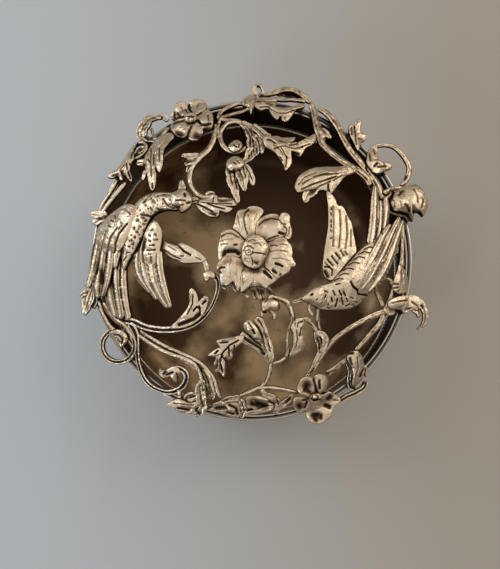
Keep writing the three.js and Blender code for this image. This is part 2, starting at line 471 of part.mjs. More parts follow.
cast("three_finger_bud", { ...SHEET, crown: 0.5 }, [
  { outline: [[-4.4, 26.1], [-5.6, 25.6], [-6.4, 24.4], [-6.4, 22.6], [-6, 20.4], [-5.6, 18.2],
    [-4.8, 16], [-4, 14.2], [-3.1, 13.8], [-2.9, 15.4], [-3.3, 17.2], [-3.7, 19.4], [-4.2, 21.8],
    [-3.9, 22.6], [-3.4, 20.4], [-2.8, 18.2], [-2, 17.3], [-1.4, 18.4], [-1.5, 20.4], [-1.9, 22.4],
    [-1.5, 22.4], [-0.9, 20.4], [-0.2, 18.8], [0.5, 18.3], [0.6, 19.8], [0.1, 21.6], [-0.9, 23.6],
    [-2.2, 25.2], [-3.2, 25.9]] },
]);
cast("ring_scroll", SCROLL, [
  [[-5.6, 35.6, 0.6], [-3.6, 35.2, 0.8], [-1.6, 34.4, 1.1], [-0.2, 32.9, 1.4], [0.3, 30.9, 1.7],
    [0.1, 28.8, 1.7], [-0.7, 26.9, 1.4], [-1.7, 25.2, 0.8], [-2.1, 24.3, 0.4]],
  [[-7.9, 35.7, 0.5], [-8.5, 32.6, 0.6], [-8, 30.2, 0.6], [-6.4, 28.7, 0.6], [-4, 27.6, 0.6],
    [-1.6, 27.9, 0.6]],
  { ...LEAF, lift: 0, rows: [[-0.8, 29, 0.7], [-3, 29.6, 1.1], [-4.4, 29.7, 1], [-5.6, 29.9, 0.5]] },
  { ...LEAF, rows: [[1, 32.2, 0.7], [2.2, 30.4, 1], [2.6, 28.8, 0.9], [2, 27, 0.4]] },
]);
cast("back_loop", STEM, [
  [[-8.6, 35.6, 0.5], [-7.6, 37.4, 0.5], [-5.4, 38.7, 0.5], [-3.2, 39.5, 0.5], [-1.2, 39.2, 0.6]],
  [[-7.9, 35.8, 0.45], [-5.4, 36.6, 0.45], [-2.8, 37.3, 0.45], [-0.6, 38.1, 0.5]],
  { ...SHEET, thick: 0.7, lift: 0.3, crown: 0.6, outline: [[-2.3, 38.9], [-2.4, 40.2], [-1.4, 41.2],
    [0, 41.5], [1, 41.2], [1.1, 40], [0.6, 38.6], [0.2, 37], [-0.4, 36.7], [-0.9, 38.2]] },
]);

// Scrolls and leaves of the back right quarter, on two stems that run side by side along the rim.
cast("back_leaf", LEAF, [
  { ...SHEET, lift: 0.3, crown: 0.4, outline: [[0, 39.8], [1.2, 40.8], [2.6, 41], [4.4, 40.9],
    [6, 40.7], [6.2, 39.8], [5.8, 38.4], [5, 37.6], [3.6, 38], [2.2, 37.5], [1, 38.2]] },
  { ...SHEET, lift: 0.7, crown: 0.4, outline: [[4.4, 38.8], [6.2, 38.5], [7.6, 38.3], [9.4, 38.5],
    [11, 38.9], [12.8, 39.4], [13, 38.5], [11, 37.8], [10.2, 36.6], [9.2, 35.3], [8.3, 34.8],
    [7.5, 35.1], [7, 36], [6.2, 35.3], [5.2, 36.2], [4.3, 37.6]] },
  [[5, 40.5, 0.5], [8, 40.4, 0.45], [10.4, 40.4, 0.45], [13.4, 40, 0.6]],
]);
cast("back_scroll", STEM, [
  [[4.2, 41.8, 0.6], [6, 42.3, 0.7], [8, 43, 0.8], [10.6, 42.8, 0.8], [12.8, 41.4, 0.8],
    [14.6, 39.7, 0.8]],
  [[1.6, 41.7, 0.5], [4, 41.7, 0.5], [5.4, 42.2, 0.5]],
  { ...LEAF, thick: 0.5, lift: -0.6, rows: [[6, 41.9, 0.5], [8.4, 41.8, 0.8], [10.6, 41.6, 0.9],
    [12.4, 41, 0.5]] },
  { ...LEAF, lift: 0, rows: [[0.6, 41.2, 0.7], [0.6, 42.6, 0.6], [0.9, 44.2, 0.4]] },
  { ...LEAF, lift: 0, rows: [[1, 44, 0.3], [2, 44, 0.3], [2.8, 42.6, 0.3], [2.8, 41.6, 0.3]] },
]);
cast("inner_stem", STEM, [
  [[14.6, 39.6, 0.7], [15.3, 38, 0.9], [15.8, 35.8, 0.85], [16.4, 33.4, 1.1], [17.2, 31.6, 1.3],
    [17.3, 29.9, 1], [18.6, 28.2, 0.85], [20.8, 26.2, 0.8], [23.2, 24.6, 0.95], [26.2, 22.9, 1],
    [28.4, 21.2, 1], [29.5, 19, 0.7]],
  { ...LEAF, lift: 0, rows: [[16.6, 33, 1], [18.2, 32, 1], [19.7, 30.8, 0.4]] },
]);
cast("outer_stem", STEM, [
  [[16.4, 38.2, 0.55], [18.1, 37.5, 0.85], [20, 35.7, 0.95], [21.7, 33.3, 1], [23.2, 30.4, 1],
    [24.8, 27.6, 1], [27, 24.8, 1], [29.3, 22.2, 1], [31.1, 19.4, 1.05], [32.2, 17, 0.9],
    [32.6, 15.4, 0.4]],
]);
cast("acanthus_leaf", { ...LEAF, lift: 0.8 }, [
  [[0, 34.2, 0.8], [1.4, 32.9, 1], [2.8, 31.6, 1.2], [4.6, 30.4, 1.3]],
  { ...SHEET, lift: 1.3, crown: 0.5, outline: [[2.6, 30.2], [3, 31.6], [4.8, 31.3], [6.4, 31.3],
    [7.4, 30.9], [9, 30.9], [10.8, 30.9], [10.4, 29.9], [12, 29.6], [13.6, 30], [14.6, 30.9],
    [15.7, 31.8], [16, 30.6], [15, 29.1], [13.4, 28.2], [12.7, 27], [11.9, 26.2], [10.8, 26.6],
    [10, 27], [9.7, 26], [10, 25], [9.6, 23.8], [8.4, 22.6], [7.9, 23.8], [7.2, 25.2], [6, 26.8],
    [4.6, 27.8], [3.4, 28.6]] },
]);
cast("small_rim_leaf", { ...SHEET, lift: 0.6, crown: 0.5 }, [
  { outline: [[26.3, 27.6], [25.2, 29.8], [24.4, 31.4], [24, 33], [24.4, 34.3], [25.3, 34.1],
    [25.7, 34.9], [26.4, 35.4], [27.1, 35.2], [27.2, 33.8], [27.2, 32.4], [28, 31.9], [28.5, 31.2],
    [28, 30.2], [27.2, 29.8], [26.9, 28.6]] },
]);
cast("right_curl", STEM, [
  { ...SHEET, lift: 0.7, crown: 0.5, outline: [[28.5, 25], [28.8, 27.2], [29.8, 28.9], [31, 29],
    [31.2, 27.4], [31.4, 26.2], [32.2, 24.9], [33.6, 24.7], [34.8, 24], [34.6, 23.2], [33, 22.6],
    [31.6, 21.9], [30.2, 22.2], [29.2, 23.4]] },
  [[29.8, 28.2, 0.7], [31.4, 29, 0.6], [33.4, 29.2, 0.55], [35.6, 28.5, 0.55], [37.6, 26.6, 0.65],
    [39.1, 24.2, 0.75], [39.2, 22.2, 0.75], [38.5, 20.4, 0.65], [37.1, 18.9, 0.5]],
]);
cast("two_finger_leaf", { ...LEAF, lift: 1.5 }, [
  { ...SHEET, thick: 0.7, lift: 1.5, crown: 0.7, outline: [[10.6, 19], [11.4, 21], [13, 22.3],
    [15, 23.2], [18, 23.6], [21, 23.6], [23.2, 23.8], [25.2, 24.2], [26.2, 22.8], [25, 21.8],
    [23.4, 21.2], [22.2, 20], [21, 18.4], [20, 17], [19.2, 17], [18.2, 17.6], [16.6, 17.8],
    [15, 17.8], [13, 17.4], [11.4, 17.2], [10.7, 18]] },
  [[17, 19.6, 1.6], [15, 18, 1.6], [13.7, 16.4, 1.2], [13.2, 14.8, 0.6]],
]);

// Leaves of the right edge, the small pear-shaped ring, and the stems that run from them to the
// lower flower.
cast("right_edge_leaf", STEM, [
  [[37.6, 9.4, 0.5], [37.5, 5, 0.5], [37.4, 1, 0.6], [37.2, -1.4, 0.9]],
  { ...SHEET, thick: 0.5, lift: 0.3, crown: 0.4, outline: [[36.7, -0.6], [38.2, -2.2], [38.8, -4],
    [38.8, -6], [38.4, -7.8], [36.4, -8.1], [35, -6.6], [35.3, -4.4], [36.1, -2.4]] },
]);
cast("right_edge_curl", { ...LEAF, lift: 0.5 }, [
  { ...SHEET, lift: 0.4, crown: 0.4, outline: [[34, -9.8], [36, -8.8], [38, -8.4], [40, -8.2],
    [41.6, -8.8], [42.6, -10], [42.4, -11.4], [41.4, -12.2], [40.4, -12], [39.4, -12.3], [38, -13],
    [37, -12], [35.4, -11.8], [34, -11.4]] },
  [[41, -9.6, 1.1], [42.4, -11, 1], [43.1, -13, 0.8], [43, -14.8, 0.7], [42.2, -16.2, 0.5],
    [41.2, -17, 0.35]],
  { lift: 0.3, rows: [[39.8, -11.6, 0.7], [41.2, -12.6, 0.6], [41.7, -14, 0.4]] },
]);
cast("pear_ring", STEM, [
  [[32.2, -4.2, 0.5], [34.4, -4.5, 0.5], [35, -6.4, 0.5], [34.6, -8.6, 0.5], [34, -10, 0.5],
    [33.3, -11.6, 0.6]],
  [[32.6, -4.2, 0.45], [31, -5.4, 0.45], [30.9, -6.8, 0.5], [31.7, -8.8, 0.5], [32.8, -11.2, 0.6]],
  { ...LEAF, lift: 0, rows: [[32.8, -11.4, 0.9], [34.2, -12.1, 1.2], [35.8, -12.2, 0.8]] },
]);
cast("right_rim_stem", SCROLL, [
  [[33.4, -12.4, 0.9], [30.6, -13.3, 0.8], [27.4, -14.8, 0.7], [24.4, -16.5, 0.65],
    [21.4, -18.6, 0.65], [19.2, -20.8, 0.7], [17.2, -23.6, 0.7], [15.9, -26, 0.6], [14.2, -28, 0.5]],
  [[31.8, -13.4, 1], [30.5, -15.8, 0.8], [29, -18.4, 0.7], [27.4, -20.6, 0.5], [26.2, -22, 0.45]],
  { ...STEM, rows: [[14.1, -14.8, 0.5], [15.2, -15.9, 0.5], [16.2, -17.4, 0.6], [17.6, -18.6, 0.8],
    [17.8, -20.4, 0.9], [17, -22.2, 0.8], [15.8, -24.4, 0.6], [14.8, -26.4, 0.5], [13.6, -28, 0.4]] },
  { ...STEM, rows: [[16.4, -13.4, 0.35], [16.6, -15.4, 0.35], [17, -17.4, 0.4]] },
  { ...LEAF, rows: [[17.2, -21.8, 0.6], [15.9, -20.6, 0.6], [15.3, -18.6, 0.4]] },
]);
cast("lower_right_leaf", STEM, [
  { ...SHEET, lift: 0.8, crown: 0.5, outline: [[23.6, -24.2], [23.9, -23.1], [25, -22.3],
    [26.2, -22.2], [27.2, -23.1], [27.8, -24.9], [28.1, -27], [27.7, -28.8], [26.6, -30.4],
    [25.1, -31.2], [25, -29.6], [25.1, -28], [24.8, -26.4], [24.2, -25.4]] },
  [[27.8, -25.8, 0.5], [28.5, -27.2, 0.55], [28.4, -28.8, 0.5]],
  { ...SCROLL, rows: [[28.5, -29.8, 0.8], [27.8, -31.4, 0.8], [26, -32.6, 0.8], [23.8, -33.6, 0.8],
    [22, -34.6, 0.7]] },
  { ...SCROLL, rows: [[25.8, -31.8, 0.7], [24.4, -31, 0.6], [24.1, -29, 0.5], [24.3, -27, 0.5],
    [23.6, -25.2, 0.5]] },
  [[24, -24.2, 0.7], [22.4, -25.3, 0.8], [20.6, -26.7, 0.8], [18.4, -28, 0.8]],
]);

// The branch that rises from the front to the flower, with its bell, its bud and its leaves.
cast("bell_flower", STEM, [
  { ...SHEET, thick: 0.5, lift: 0.1, crown: 0.2, outline: [[-3.4, -18], [-2.8, -17], [-1.8, -16.8],
    [-0.8, -17.8], [0.6, -19.2], [2, -20.3], [3.4, -21.6], [4.2, -23.6], [4.5, -25.2], [3, -23.8],
    [1.8, -22.6], [0.8, -21.4], [-0.6, -20.9], [-2, -20.3], [-3, -19.4]] },
  { ...SHEET, lift: 0.9, crown: 0.5, outline: [[-1.9, -16.6], [-1.7, -15.2], [-0.8, -14.5],
    [0.4, -14.9], [1.6, -16.6], [2.5, -18.6], [2.7, -19.9], [1.6, -20.4], [0.4, -19.6], [-0.9, -18]] },
  { ...SHEET, thick: 0.7, lift: 0.7, crown: 0.6, outline: [[0.3, -14.3], [1.6, -13.6], [2.9, -13.5],
    [3.5, -14.8], [3.8, -17], [4.2, -19], [5, -20.6], [5.2, -22.4], [4.7, -24], [4.7, -25.2],
    [3.6, -23.8], [3, -21.8], [2.7, -19.9], [2.2, -18], [1.2, -16]] },
  [[-3.3, -18.4, 0.35], [-2.6, -19.8, 0.35], [-1.2, -20.6, 0.35], [0.4, -21.3, 0.35],
    [1.8, -22.6, 0.35], [3.4, -23.9, 0.35], [4.6, -25.2, 0.4]],
]);
cast("small_bud", LEAF, [
  { ...SHEET, thick: 1, lift: 0.3, crown: 0.8, outline: [[2.3, -12.2], [2.2, -10.7], [2.8, -9.7],
    [4.2, -9.3], [6.1, -9.7], [6.9, -10.6], [6.9, -11.7], [5.8, -12.3], [4.4, -12.1], [3.3, -12.8]] },
  [[2.8, -12, 0.5], [2.6, -13, 0.5], [2.3, -14, 0.4]],
  [[4.2, -11.8, 0.5], [5.4, -12.9, 0.5], [5.4, -14.5, 0.4]],
  { ...STEM, lift: 0.2, rows: [[4.2, -9.9, 0.8], [4.8, -8.8, 0.7], [4.8, -8, 0.5]] },
]);
cast("hanging_leaf", LEAF, [
  [[-3.2, -18.8, 0.9], [-5.2, -19, 0.8], [-7.2, -19.3, 0.6], [-9, -20.1, 0.35]],
  [[-6.4, -20.2, 0.6], [-8.2, -21.2, 0.7], [-9.8, -22.4, 0.6], [-11, -23.5, 0.3]],
  [[-3.4, -19.4, 0.9], [-4.8, -20.6, 1], [-5.3, -22.4, 0.9], [-5.8, -24.3, 0.4]],
  { ...SHEET, thick: 0.5, lift: 0.6, crown: 0.4, outline: [[-7.6, -20.4], [-6, -20.8], [-5.6, -21.8],
    [-6.4, -23.4], [-6.8, -24.8], [-7.2, -26], [-7.2, -27.4], [-6.9, -28.5], [-7.8, -28.2],
    [-8.4, -27], [-9, -27.9], [-9.9, -27.2], [-9.7, -26], [-9.5, -24.6], [-9.6, -23.4], [-9, -22.2],
    [-8.4, -21.2]] },
]);
cast("loop_leaf", LEAF, [
  { ...SHEET, lift: 0.7, crown: 0.5, outline: [[9.7, -16.4], [10.5, -14.7], [11.4, -14], [12.8, -14],
    [13, -15.2], [12.6, -16.2], [12.6, -17.6], [12.8, -18.6], [13.3, -19.6], [13.3, -21.2],
    [12, -22.6], [10, -23.8], [9.3, -23.4], [9.9, -21.6], [10.1, -19.6], [10, -17.6]] },
  [[12, -14.6, 0.6], [13.4, -14.2, 0.6], [14.8, -15, 0.4]],
  { ...STEM, rows: [[4.6, -8.8, 0.6], [7.4, -9.4, 0.6], [9.2, -10.7, 0.7], [10, -12.8, 0.7],
    [10.2, -14.8, 0.6], [9.3, -16.8, 0.45], [8.9, -18.6, 0.4], [8.8, -20.4, 0.4], [9, -22.2, 0.45],
    [8.4, -23.8, 0.5]] },
]);
cast("rising_stem", STEM, [
  [[2.2, -31.4, 0.5], [3.4, -30, 0.55], [4.3, -28.2, 0.6], [4.6, -26.4, 0.6], [4.7, -25, 0.5]],
  [[4.8, -25.3, 0.5], [6.8, -24.9, 0.5], [8.6, -23.7, 0.5]],
  [[-3.6, -33.8, 0.4], [-2, -33, 0.5], [0, -32.2, 0.55], [1.8, -31.5, 0.6], [3, -31.4, 0.6],
    [5.6, -31.5, 0.55], [8.1, -31.9, 0.5], [10.6, -32.3, 0.5]],
]);

// Scrolls, leaves and the round ring of the front.
cast("front_leaves", LEAF, [
  [[-9.8, -35.9, 0.5], [-8, -35.2, 0.6], [-6, -34.3, 0.8], [-4, -33.9, 0.9], [-2.8, -34, 0.8]],
  [[-3, -34.2, 0.8], [-2.3, -35.6, 0.8], [-2, -37, 0.8], [-2.6, -39, 0.4]],
  { ...SHEET, thick: 0.5, lift: 0, crown: 0.2, outline: [[-10.6, -36.8], [-9, -36.1], [-7, -35.5],
    [-5, -35], [-3.2, -35.2], [-2.3, -36.4], [-2.3, -37.8], [-3.2, -38.8], [-4.6, -38.9], [-6, -38.5],
    [-8, -37.8]] },
  [[2.4, -31.8, 0.5], [3.4, -33, 0.7], [5.2, -33.8, 0.9], [6.4, -35, 0.8], [6.3, -36.8, 0.7],
    [5.4, -38, 0.6]],
  [[-2.2, -38, 0.6], [0.6, -37.4, 0.6], [2.8, -36.9, 0.7], [5.6, -36, 0.6]],
  { ...SHEET, thick: 0.5, lift: -0.1, crown: 0.1, outline: [[-1.4, -33.8], [0, -33.4], [2, -33.4],
    [4, -33.9], [6, -34.9], [6, -36.4], [4, -37.4], [1.6, -38], [-0.4, -37.8], [-1.4, -36.6],
    [-1.7, -35.2]] },
  [[6.2, -36.4, 0.8], [7.8, -35.4, 0.9], [9.2, -34.2, 0.7], [9.9, -33, 0.4]],
]);
cast("leafy_stalk", LEAF, [
  [[-12.2, -29.4, 0.7], [-12.9, -31.4, 1.3], [-12.7, -33.6, 1.4], [-12.3, -35.6, 1.3],
    [-12, -37.6, 0.8]],
  [[-12.4, -35.8, 1], [-12.9, -37.4, 0.9], [-14.6, -38.2, 0.6]],
  { ...SHEET, thick: 0.5, lift: 0.4, outline: [[-21.2, -35.7], [-20, -34.7], [-18.4, -34.2],
    [-17, -34.7], [-15.6, -35.2], [-14, -35], [-12.8, -35.2], [-13.4, -36.2], [-15, -36.8],
    [-17, -36.7], [-19, -36.4]] },
  [[-14, -37, 0.7], [-16.4, -37.3, 0.6], [-19.2, -36.8, 0.4]],
  { ...STEM, rows: [[-13, -33.2, 0.45], [-14.8, -32.7, 0.45], [-16.4, -33.2, 0.4], [-17, -34.2, 0.35]] },
  { lift: 0, rows: [[-13, -33.8, 0.7], [-15.4, -34.4, 0.6], [-16.2, -34.6, 0.35]] },
]);
cast("double_stem", SCROLL, [
  [[-28.4, -17.4, 0.8], [-26.4, -18.7, 0.9], [-23.4, -20.8, 1], [-20.4, -22.4, 1.1],
    [-17.4, -23.8, 1.2], [-14.6, -25.1, 1.3], [-12.5, -26.9, 1.5], [-11.4, -29.4, 1.6],
    [-10.9, -32, 1.3], [-10.9, -34.6, 0.9]],
  { ...STEM, rows: [[-12.2, -25.6, 0.5], [-10, -27.6, 0.5], [-9, -29.4, 0.5], [-8.5, -31.4, 0.5],
    [-7.9, -34.2, 0.45]] },
]);
cast("front_scroll", SCROLL, [
  [[-30.6, -15.2, 1], [-29.3, -17, 1], [-28.7, -19, 0.8], [-28.6, -22, 0.65], [-28.4, -24.6, 0.6],
    [-27.6, -27.4, 0.6], [-26.4, -29.6, 0.6], [-24.6, -31.2, 0.6], [-22, -32.3, 0.6],
    [-20, -32.4, 0.7], [-18, -31.6, 0.8], [-16.7, -30.2, 0.85], [-16.3, -28.6, 0.8],
    [-17, -27.2, 0.8], [-18.6, -26.5, 0.75], [-20.2, -27, 0.75], [-21.4, -27.8, 0.7],
    [-22.4, -27.4, 0.5], [-23, -26.5, 0.3]],
  { ...LEAF, rows: [[-21, -28, 0.6], [-22, -28.6, 0.7], [-22.9, -28.6, 0.35]] },
  { ...LEAF, lift: 0.2, rows: [[-19, -27.2, 0.5], [-19.5, -28.8, 0.5], [-19, -30.2, 0.5],
    [-18, -30.8, 0.45]] },
  { ...LEAF, lift: 0, rows: [[-18.2, -31.8, 0.6], [-18.1, -33.2, 0.5], [-18.2, -34.2, 0.35]] },
]);
// The left ring, as an open circle of rows that starts at its upper right
const RING_CENTRE = [-33.3, -20.9];
const RING_TO_WIRE = 4.1; // to the middle of its wire
const RING_HALF_WIDTH = 0.65;
const RING_START = 40; // degrees from the right
const RING_STEP = 25;
const RING_ROWS = 13;
const ringPath = Array.from({ length: RING_ROWS }, (_, i) => {
  const a = THREE.MathUtils.degToRad(RING_START - i * RING_STEP);
  const [x, y] = RING_CENTRE;
  return [x + RING_TO_WIRE * Math.cos(a), y + RING_TO_WIRE * Math.sin(a), RING_HALF_WIDTH];
});
cast("left_ring_scroll", SCROLL, [
  ringPath,
  { ...LEAF, lift: 0, rows: [[-38.2, -9.6, 0.7], [-37, -12.2, 1], [-35.4, -14.9, 1.3],
    [-34, -17.2, 1.6], [-32.8, -19.2, 1.4], [-33, -20.8, 0.7]] },
]);
cast("beak_side_leaf", LEAF, [
  { ...SHEET, thick: 0.5, lift: 0.4, outline: [[-22.8, 5.3], [-20.4, 4.5], [-18.2, 3.8], [-18, 4.6],
    [-16.6, 4.4], [-14.6, 3.3], [-12.6, 2], [-11.4, 0.6], [-12.6, -0.2], [-14.6, -0.3], [-17, -0.4],
    [-18.6, 0.4], [-20.6, 1.2], [-21.9, 2.6], [-22.7, 3.8]] },
  [[-13.4, 0.8, 0.9], [-12, 0.2, 0.6], [-11.3, -1.4, 0.6], [-11.2, -2.8, 0.45]],
]);
cast("inner_scroll", { ...LEAF, lift: 0 }, [
  { ...SCROLL, rows: [[-31.8, -14.6, 0.9], [-29.4, -15, 1], [-26.6, -16.2, 0.9], [-23.6, -16.8, 0.9],
    [-20.4, -16.9, 0.9], [-17.2, -16.5, 0.8], [-14.4, -15.5, 0.7], [-12, -13.7, 0.6],
    [-10.2, -11.4, 0.5], [-9.1, -9, 0.5], [-8.5, -6.6, 0.55], [-8.6, -4.6, 0.7], [-9.8, -3.4, 0.9],
    [-11.2, -3.4, 0.8], [-11.9, -4.6, 0.45]] },
  [[-19.6, -16, 0.6], [-18, -14.4, 1], [-16.8, -12.6, 1.1], [-16, -10.6, 1], [-15.2, -8.6, 1.2],
    [-15.2, -6.8, 0.6]],
  [[-17.4, -15.4, 0.9], [-15.4, -14, 1.3], [-13.6, -12, 1.2], [-12.4, -10.2, 0.9], [-11.8, -8.7, 0.45]],
  [[-15.4, -12.6, 0.6], [-14.2, -10.6, 0.7], [-13.8, -9.3, 0.35]],
]);

const fuse = (casting, grow) =>
  casting.shapes
    .map((shape) => (shape.outline ? sheet : strand)(shape, grow))
    .reduce((whole, next) => whole.add(next));

function solidFrom(geometry) {
  const bare = geometry.clone();
  bare.deleteAttribute("normal");
  bare.deleteAttribute("uv");
  const merged = mergeVertices(bare, WELD);
  return new wasm.Manifold(
    new wasm.Mesh({
      numProp: 3,
      vertProperties: merged.attributes.position.array,
      triVerts: new Uint32Array(merged.index.array),
    }),
  );
}

function geometryFrom(solid) {
  const mesh = solid.getMesh();
  return new THREE.BufferGeometry()
    .setAttribute("position", new THREE.BufferAttribute(mesh.vertProperties, 3))
    .setIndex(new THREE.BufferAttribute(mesh.triVerts, 1));
}

// The largest body of a solid, once its closest points are welded
function mainBody(solid) {
  const welded = solidFrom(geometryFrom(solid));
  return welded.decompose().sort((a, b) => b.volume() - a.volume())[0];
}

// Each casting is cut back from those set before it, and keeps its main body.
const wireKeepOut = solidFrom(
  wireRing(
    COLLAR_RADIUS - COLLAR_WALL - SOLDER_GAP,
    RIM_RADIUS + SOLDER_GAP,
    collarFoot,
    LID_TOP + SOLDER_GAP,
  ),
);
const keepOuts = [wireKeepOut];
for (const casting of castings) {
  const trimmed = keepOuts.reduce((left, keepOut) => left.subtract(keepOut), fuse(casting, 0));
  addMesh(lid, casting.name, geometryFrom(mainBody(trimmed)), silver);
  keepOuts.push(fuse(casting, SOLDER_GAP));
}

const potpourriBox = new THREE.Group();
potpourriBox.add(box, lid);

export default potpourriBox;
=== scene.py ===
import bpy
import numpy as np
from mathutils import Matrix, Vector


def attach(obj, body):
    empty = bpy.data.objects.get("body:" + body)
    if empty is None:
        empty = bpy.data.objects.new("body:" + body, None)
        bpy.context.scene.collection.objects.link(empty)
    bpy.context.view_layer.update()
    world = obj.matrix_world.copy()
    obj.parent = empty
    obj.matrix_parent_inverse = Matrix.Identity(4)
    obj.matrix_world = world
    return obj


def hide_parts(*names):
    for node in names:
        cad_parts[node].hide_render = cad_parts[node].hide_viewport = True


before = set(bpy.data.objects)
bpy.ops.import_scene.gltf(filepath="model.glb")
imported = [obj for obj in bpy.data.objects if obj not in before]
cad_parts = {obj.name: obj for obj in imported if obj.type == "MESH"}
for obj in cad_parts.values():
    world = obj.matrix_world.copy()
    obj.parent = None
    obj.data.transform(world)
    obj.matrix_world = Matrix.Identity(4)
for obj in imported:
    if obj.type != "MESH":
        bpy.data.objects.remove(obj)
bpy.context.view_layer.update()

# The cup: wall and floor in one, spun from a single sheet of silver over a former. Its outside is
# polished, and its inside has gone brown with age and shows the spinner's rings, with painted
# shade and light laid over its floor.
MM = 0.001
CUP_HEIGHT = 26.6
RIM_RADIUS = 39.75
EDGE_WIRE_WIDTH = 0.9
CUP_BORE = RIM_RADIUS - EDGE_WIRE_WIDTH
WALL = 0.5
CUP_RADIUS = CUP_BORE + WALL
FLOOR = 0.9
FLOOR_FILLET = 4
BASE_CORNER = 2
LIP_EASE = 0.12
TURNS = 240
BASE_RINGS = 11
FLOOR_RINGS = 39
CORNER = np.radians(np.linspace(-90, 0, 13))
FILED_EDGE = 50


class Socket:
    """A shader value. Arithmetic on it lays down the Math nodes that work it out."""

    def __init__(self, finish, link):
        self.finish, self.link = finish, link

    def __add__(self, other):
        return self.finish.maths("ADD", self, other)

    def __sub__(self, other):
        return self.finish.maths("SUBTRACT", self, other)

    def __rsub__(self, other):
        return self.finish.maths("SUBTRACT", other, self)

    def __mul__(self, other):
        return self.finish.maths("MULTIPLY", self, other)

    def __pow__(self, other):
        return self.finish.maths("POWER", self, other)

    __radd__, __rmul__ = __add__, __mul__


class Finish:
    """The nodes of a material, or of the sky, laid out one by one."""

    def __init__(self, owner):
        owner.use_nodes = True
        self.owner, self.tree = owner, owner.node_tree
        self.tree.nodes.clear()

    def node(self, kind, settings=(), sockets=(), out=0):
        """Any node: its settings are set first, and then the values or links of its sockets."""
        made = self.tree.nodes.new("ShaderNode" + kind)
        for key, value in dict(settings).items():
            if key == "stops":
                while len(made.color_ramp.elements) < len(value):
                    made.color_ramp.elements.new(1)
                for element, (position, colour) in zip(made.color_ramp.elements, value):
                    element.position, element.color = position, (*colour, 1)
            else:
                setattr(made, key, value)
        for key, value in dict(sockets).items():
            if isinstance(value, Socket):
                self.tree.links.new(value.link, made.inputs[key])
            else:
                made.inputs[key].default_value = value
        return Socket(self, made.outputs[out]) if made.outputs else None

    def maths(self, operation, *values):
        """One step of arithmetic on sockets or numbers."""
        return self.node("Math", {"operation": operation}, dict(enumerate(values)))

    def clamped(self, value):
        """The value, kept from 0 to 1."""
        return self.node("Clamp", (), {"Value": value})

    def mixed(self, share, one, other):
        """A colour between one and other."""
        return self.node("Mix", {"data_type": "RGBA"}, {0: share, 6: one, 7: other}, 2)

    def attribute(self, name):
        """A number that the mesh bears at each of its points."""
        return self.node("Attribute", {"attribute_name": name}, out="Fac")

    def noise(self, place, scale, detail=2):
        """Soft spots, with this many to the metre."""
        return self.node("TexNoise", (), {"Vector": place, "Scale": scale, "Detail": detail})

    def metal(self, colour, roughness, height, depth, metallic=1.0):
        """Ends the material in a metal. Height is a relief from 0 to 1, of this depth in mm."""
        bump = self.node("Bump", (), {"Height": height, "Distance": depth * MM, "Strength": 1})
        shader = self.node("BsdfPrincipled", (), {
            "Base Color": colour, "Roughness": roughness, "Metallic": metallic, "Normal": bump})
        self.node("OutputMaterial", (), {"Surface": shader})
        return self.owner


def shell(rings, relief, loop=False):
    """Joins rings of points into a skin: point j of ring i meets point j of ring i + 1. The ends
    are closed by fans to their middles, or the last ring meets the first where it is a loop."""
    count, around, _ = rings.shape
    here = np.arange(around)
    after = (here + 1) % around
    start = np.arange(count if loop else count - 1)[:, None] * around
    ahead = (start + around) % (count * around)
    quads = np.stack([start + here, ahead + here, ahead + after, start + after], -1)
    points = rings.reshape(-1, 3)
    if loop:
        return points, relief.ravel(), quads.reshape(-1, 4), np.zeros((0, 3), int)
    points = np.vstack([points, rings[0].mean(0), rings[-1].mean(0)])
    first, last = count * around, count * around + 1
    foot = (count - 1) * around
    fans = np.vstack([
        np.column_stack([np.full(around, first), here, after]),
        np.column_stack([np.full(around, last), foot + after, foot + here])])
    relief = np.append(relief.ravel(), [relief[0].mean(), relief[-1].mean()])
    return points, relief, quads.reshape(-1, 4), fans


def turned(radius, height, relief, loop=True):
    """Swings an outline in radius and height round the axis. The outline runs out along its
    underside, up its outside and back in, and a circle stands at each of its points."""
    turn = -np.linspace(0, 2 * np.pi, TURNS, endpoint=False)
    radius, height = np.asarray(radius, float), np.asarray(height, float)
    rings = np.stack([
        radius[:, None] * np.cos(turn), radius[:, None] * np.sin(turn),
        np.repeat(height[:, None], TURNS, 1)], -1)
    return shell(rings, np.repeat(np.asarray(relief, float)[:, None], TURNS, 1), loop)


def make_piece(name, shells, finish, body, crease=180):
    """One object from its shells, in place of the CAD node of the same name. Faces that meet at
    more than crease degrees meet in a sharp edge."""
    sizes = np.cumsum([0] + [len(points) for points, *_ in shells])
    points = np.vstack([points for points, *_ in shells]) * MM
    corners = np.concatenate([
        np.concatenate([quads.ravel() + size, fans.ravel() + size])
        for size, (_, _, quads, fans) in zip(sizes, shells)])
    sides = np.concatenate([
        np.concatenate([np.full(len(quads), 4), np.full(len(fans), 3)])
        for _, _, quads, fans in shells])
    mesh = bpy.data.meshes.new(name)
    mesh.vertices.add(len(points))
    mesh.vertices.foreach_set("co", points.ravel())
    mesh.loops.add(len(corners))
    mesh.loops.foreach_set("vertex_index", corners)
    mesh.polygons.add(len(sides))
    mesh.polygons.foreach_set("loop_start", np.cumsum(sides) - sides)
    mesh.update(calc_edges=True)
    mesh.attributes.new("relief", "FLOAT", "POINT").data.foreach_set(
        "value", np.concatenate([relief for _, relief, _, _ in shells]))
    mesh.materials.append(finish)
    mesh.shade_smooth()
    if crease < 180:
        mesh.set_sharp_from_angle(angle=np.radians(crease))
    made = bpy.data.objects.new(name + "_form", mesh)
    bpy.context.scene.collection.objects.link(made)
    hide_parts(name)
    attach(made, body)
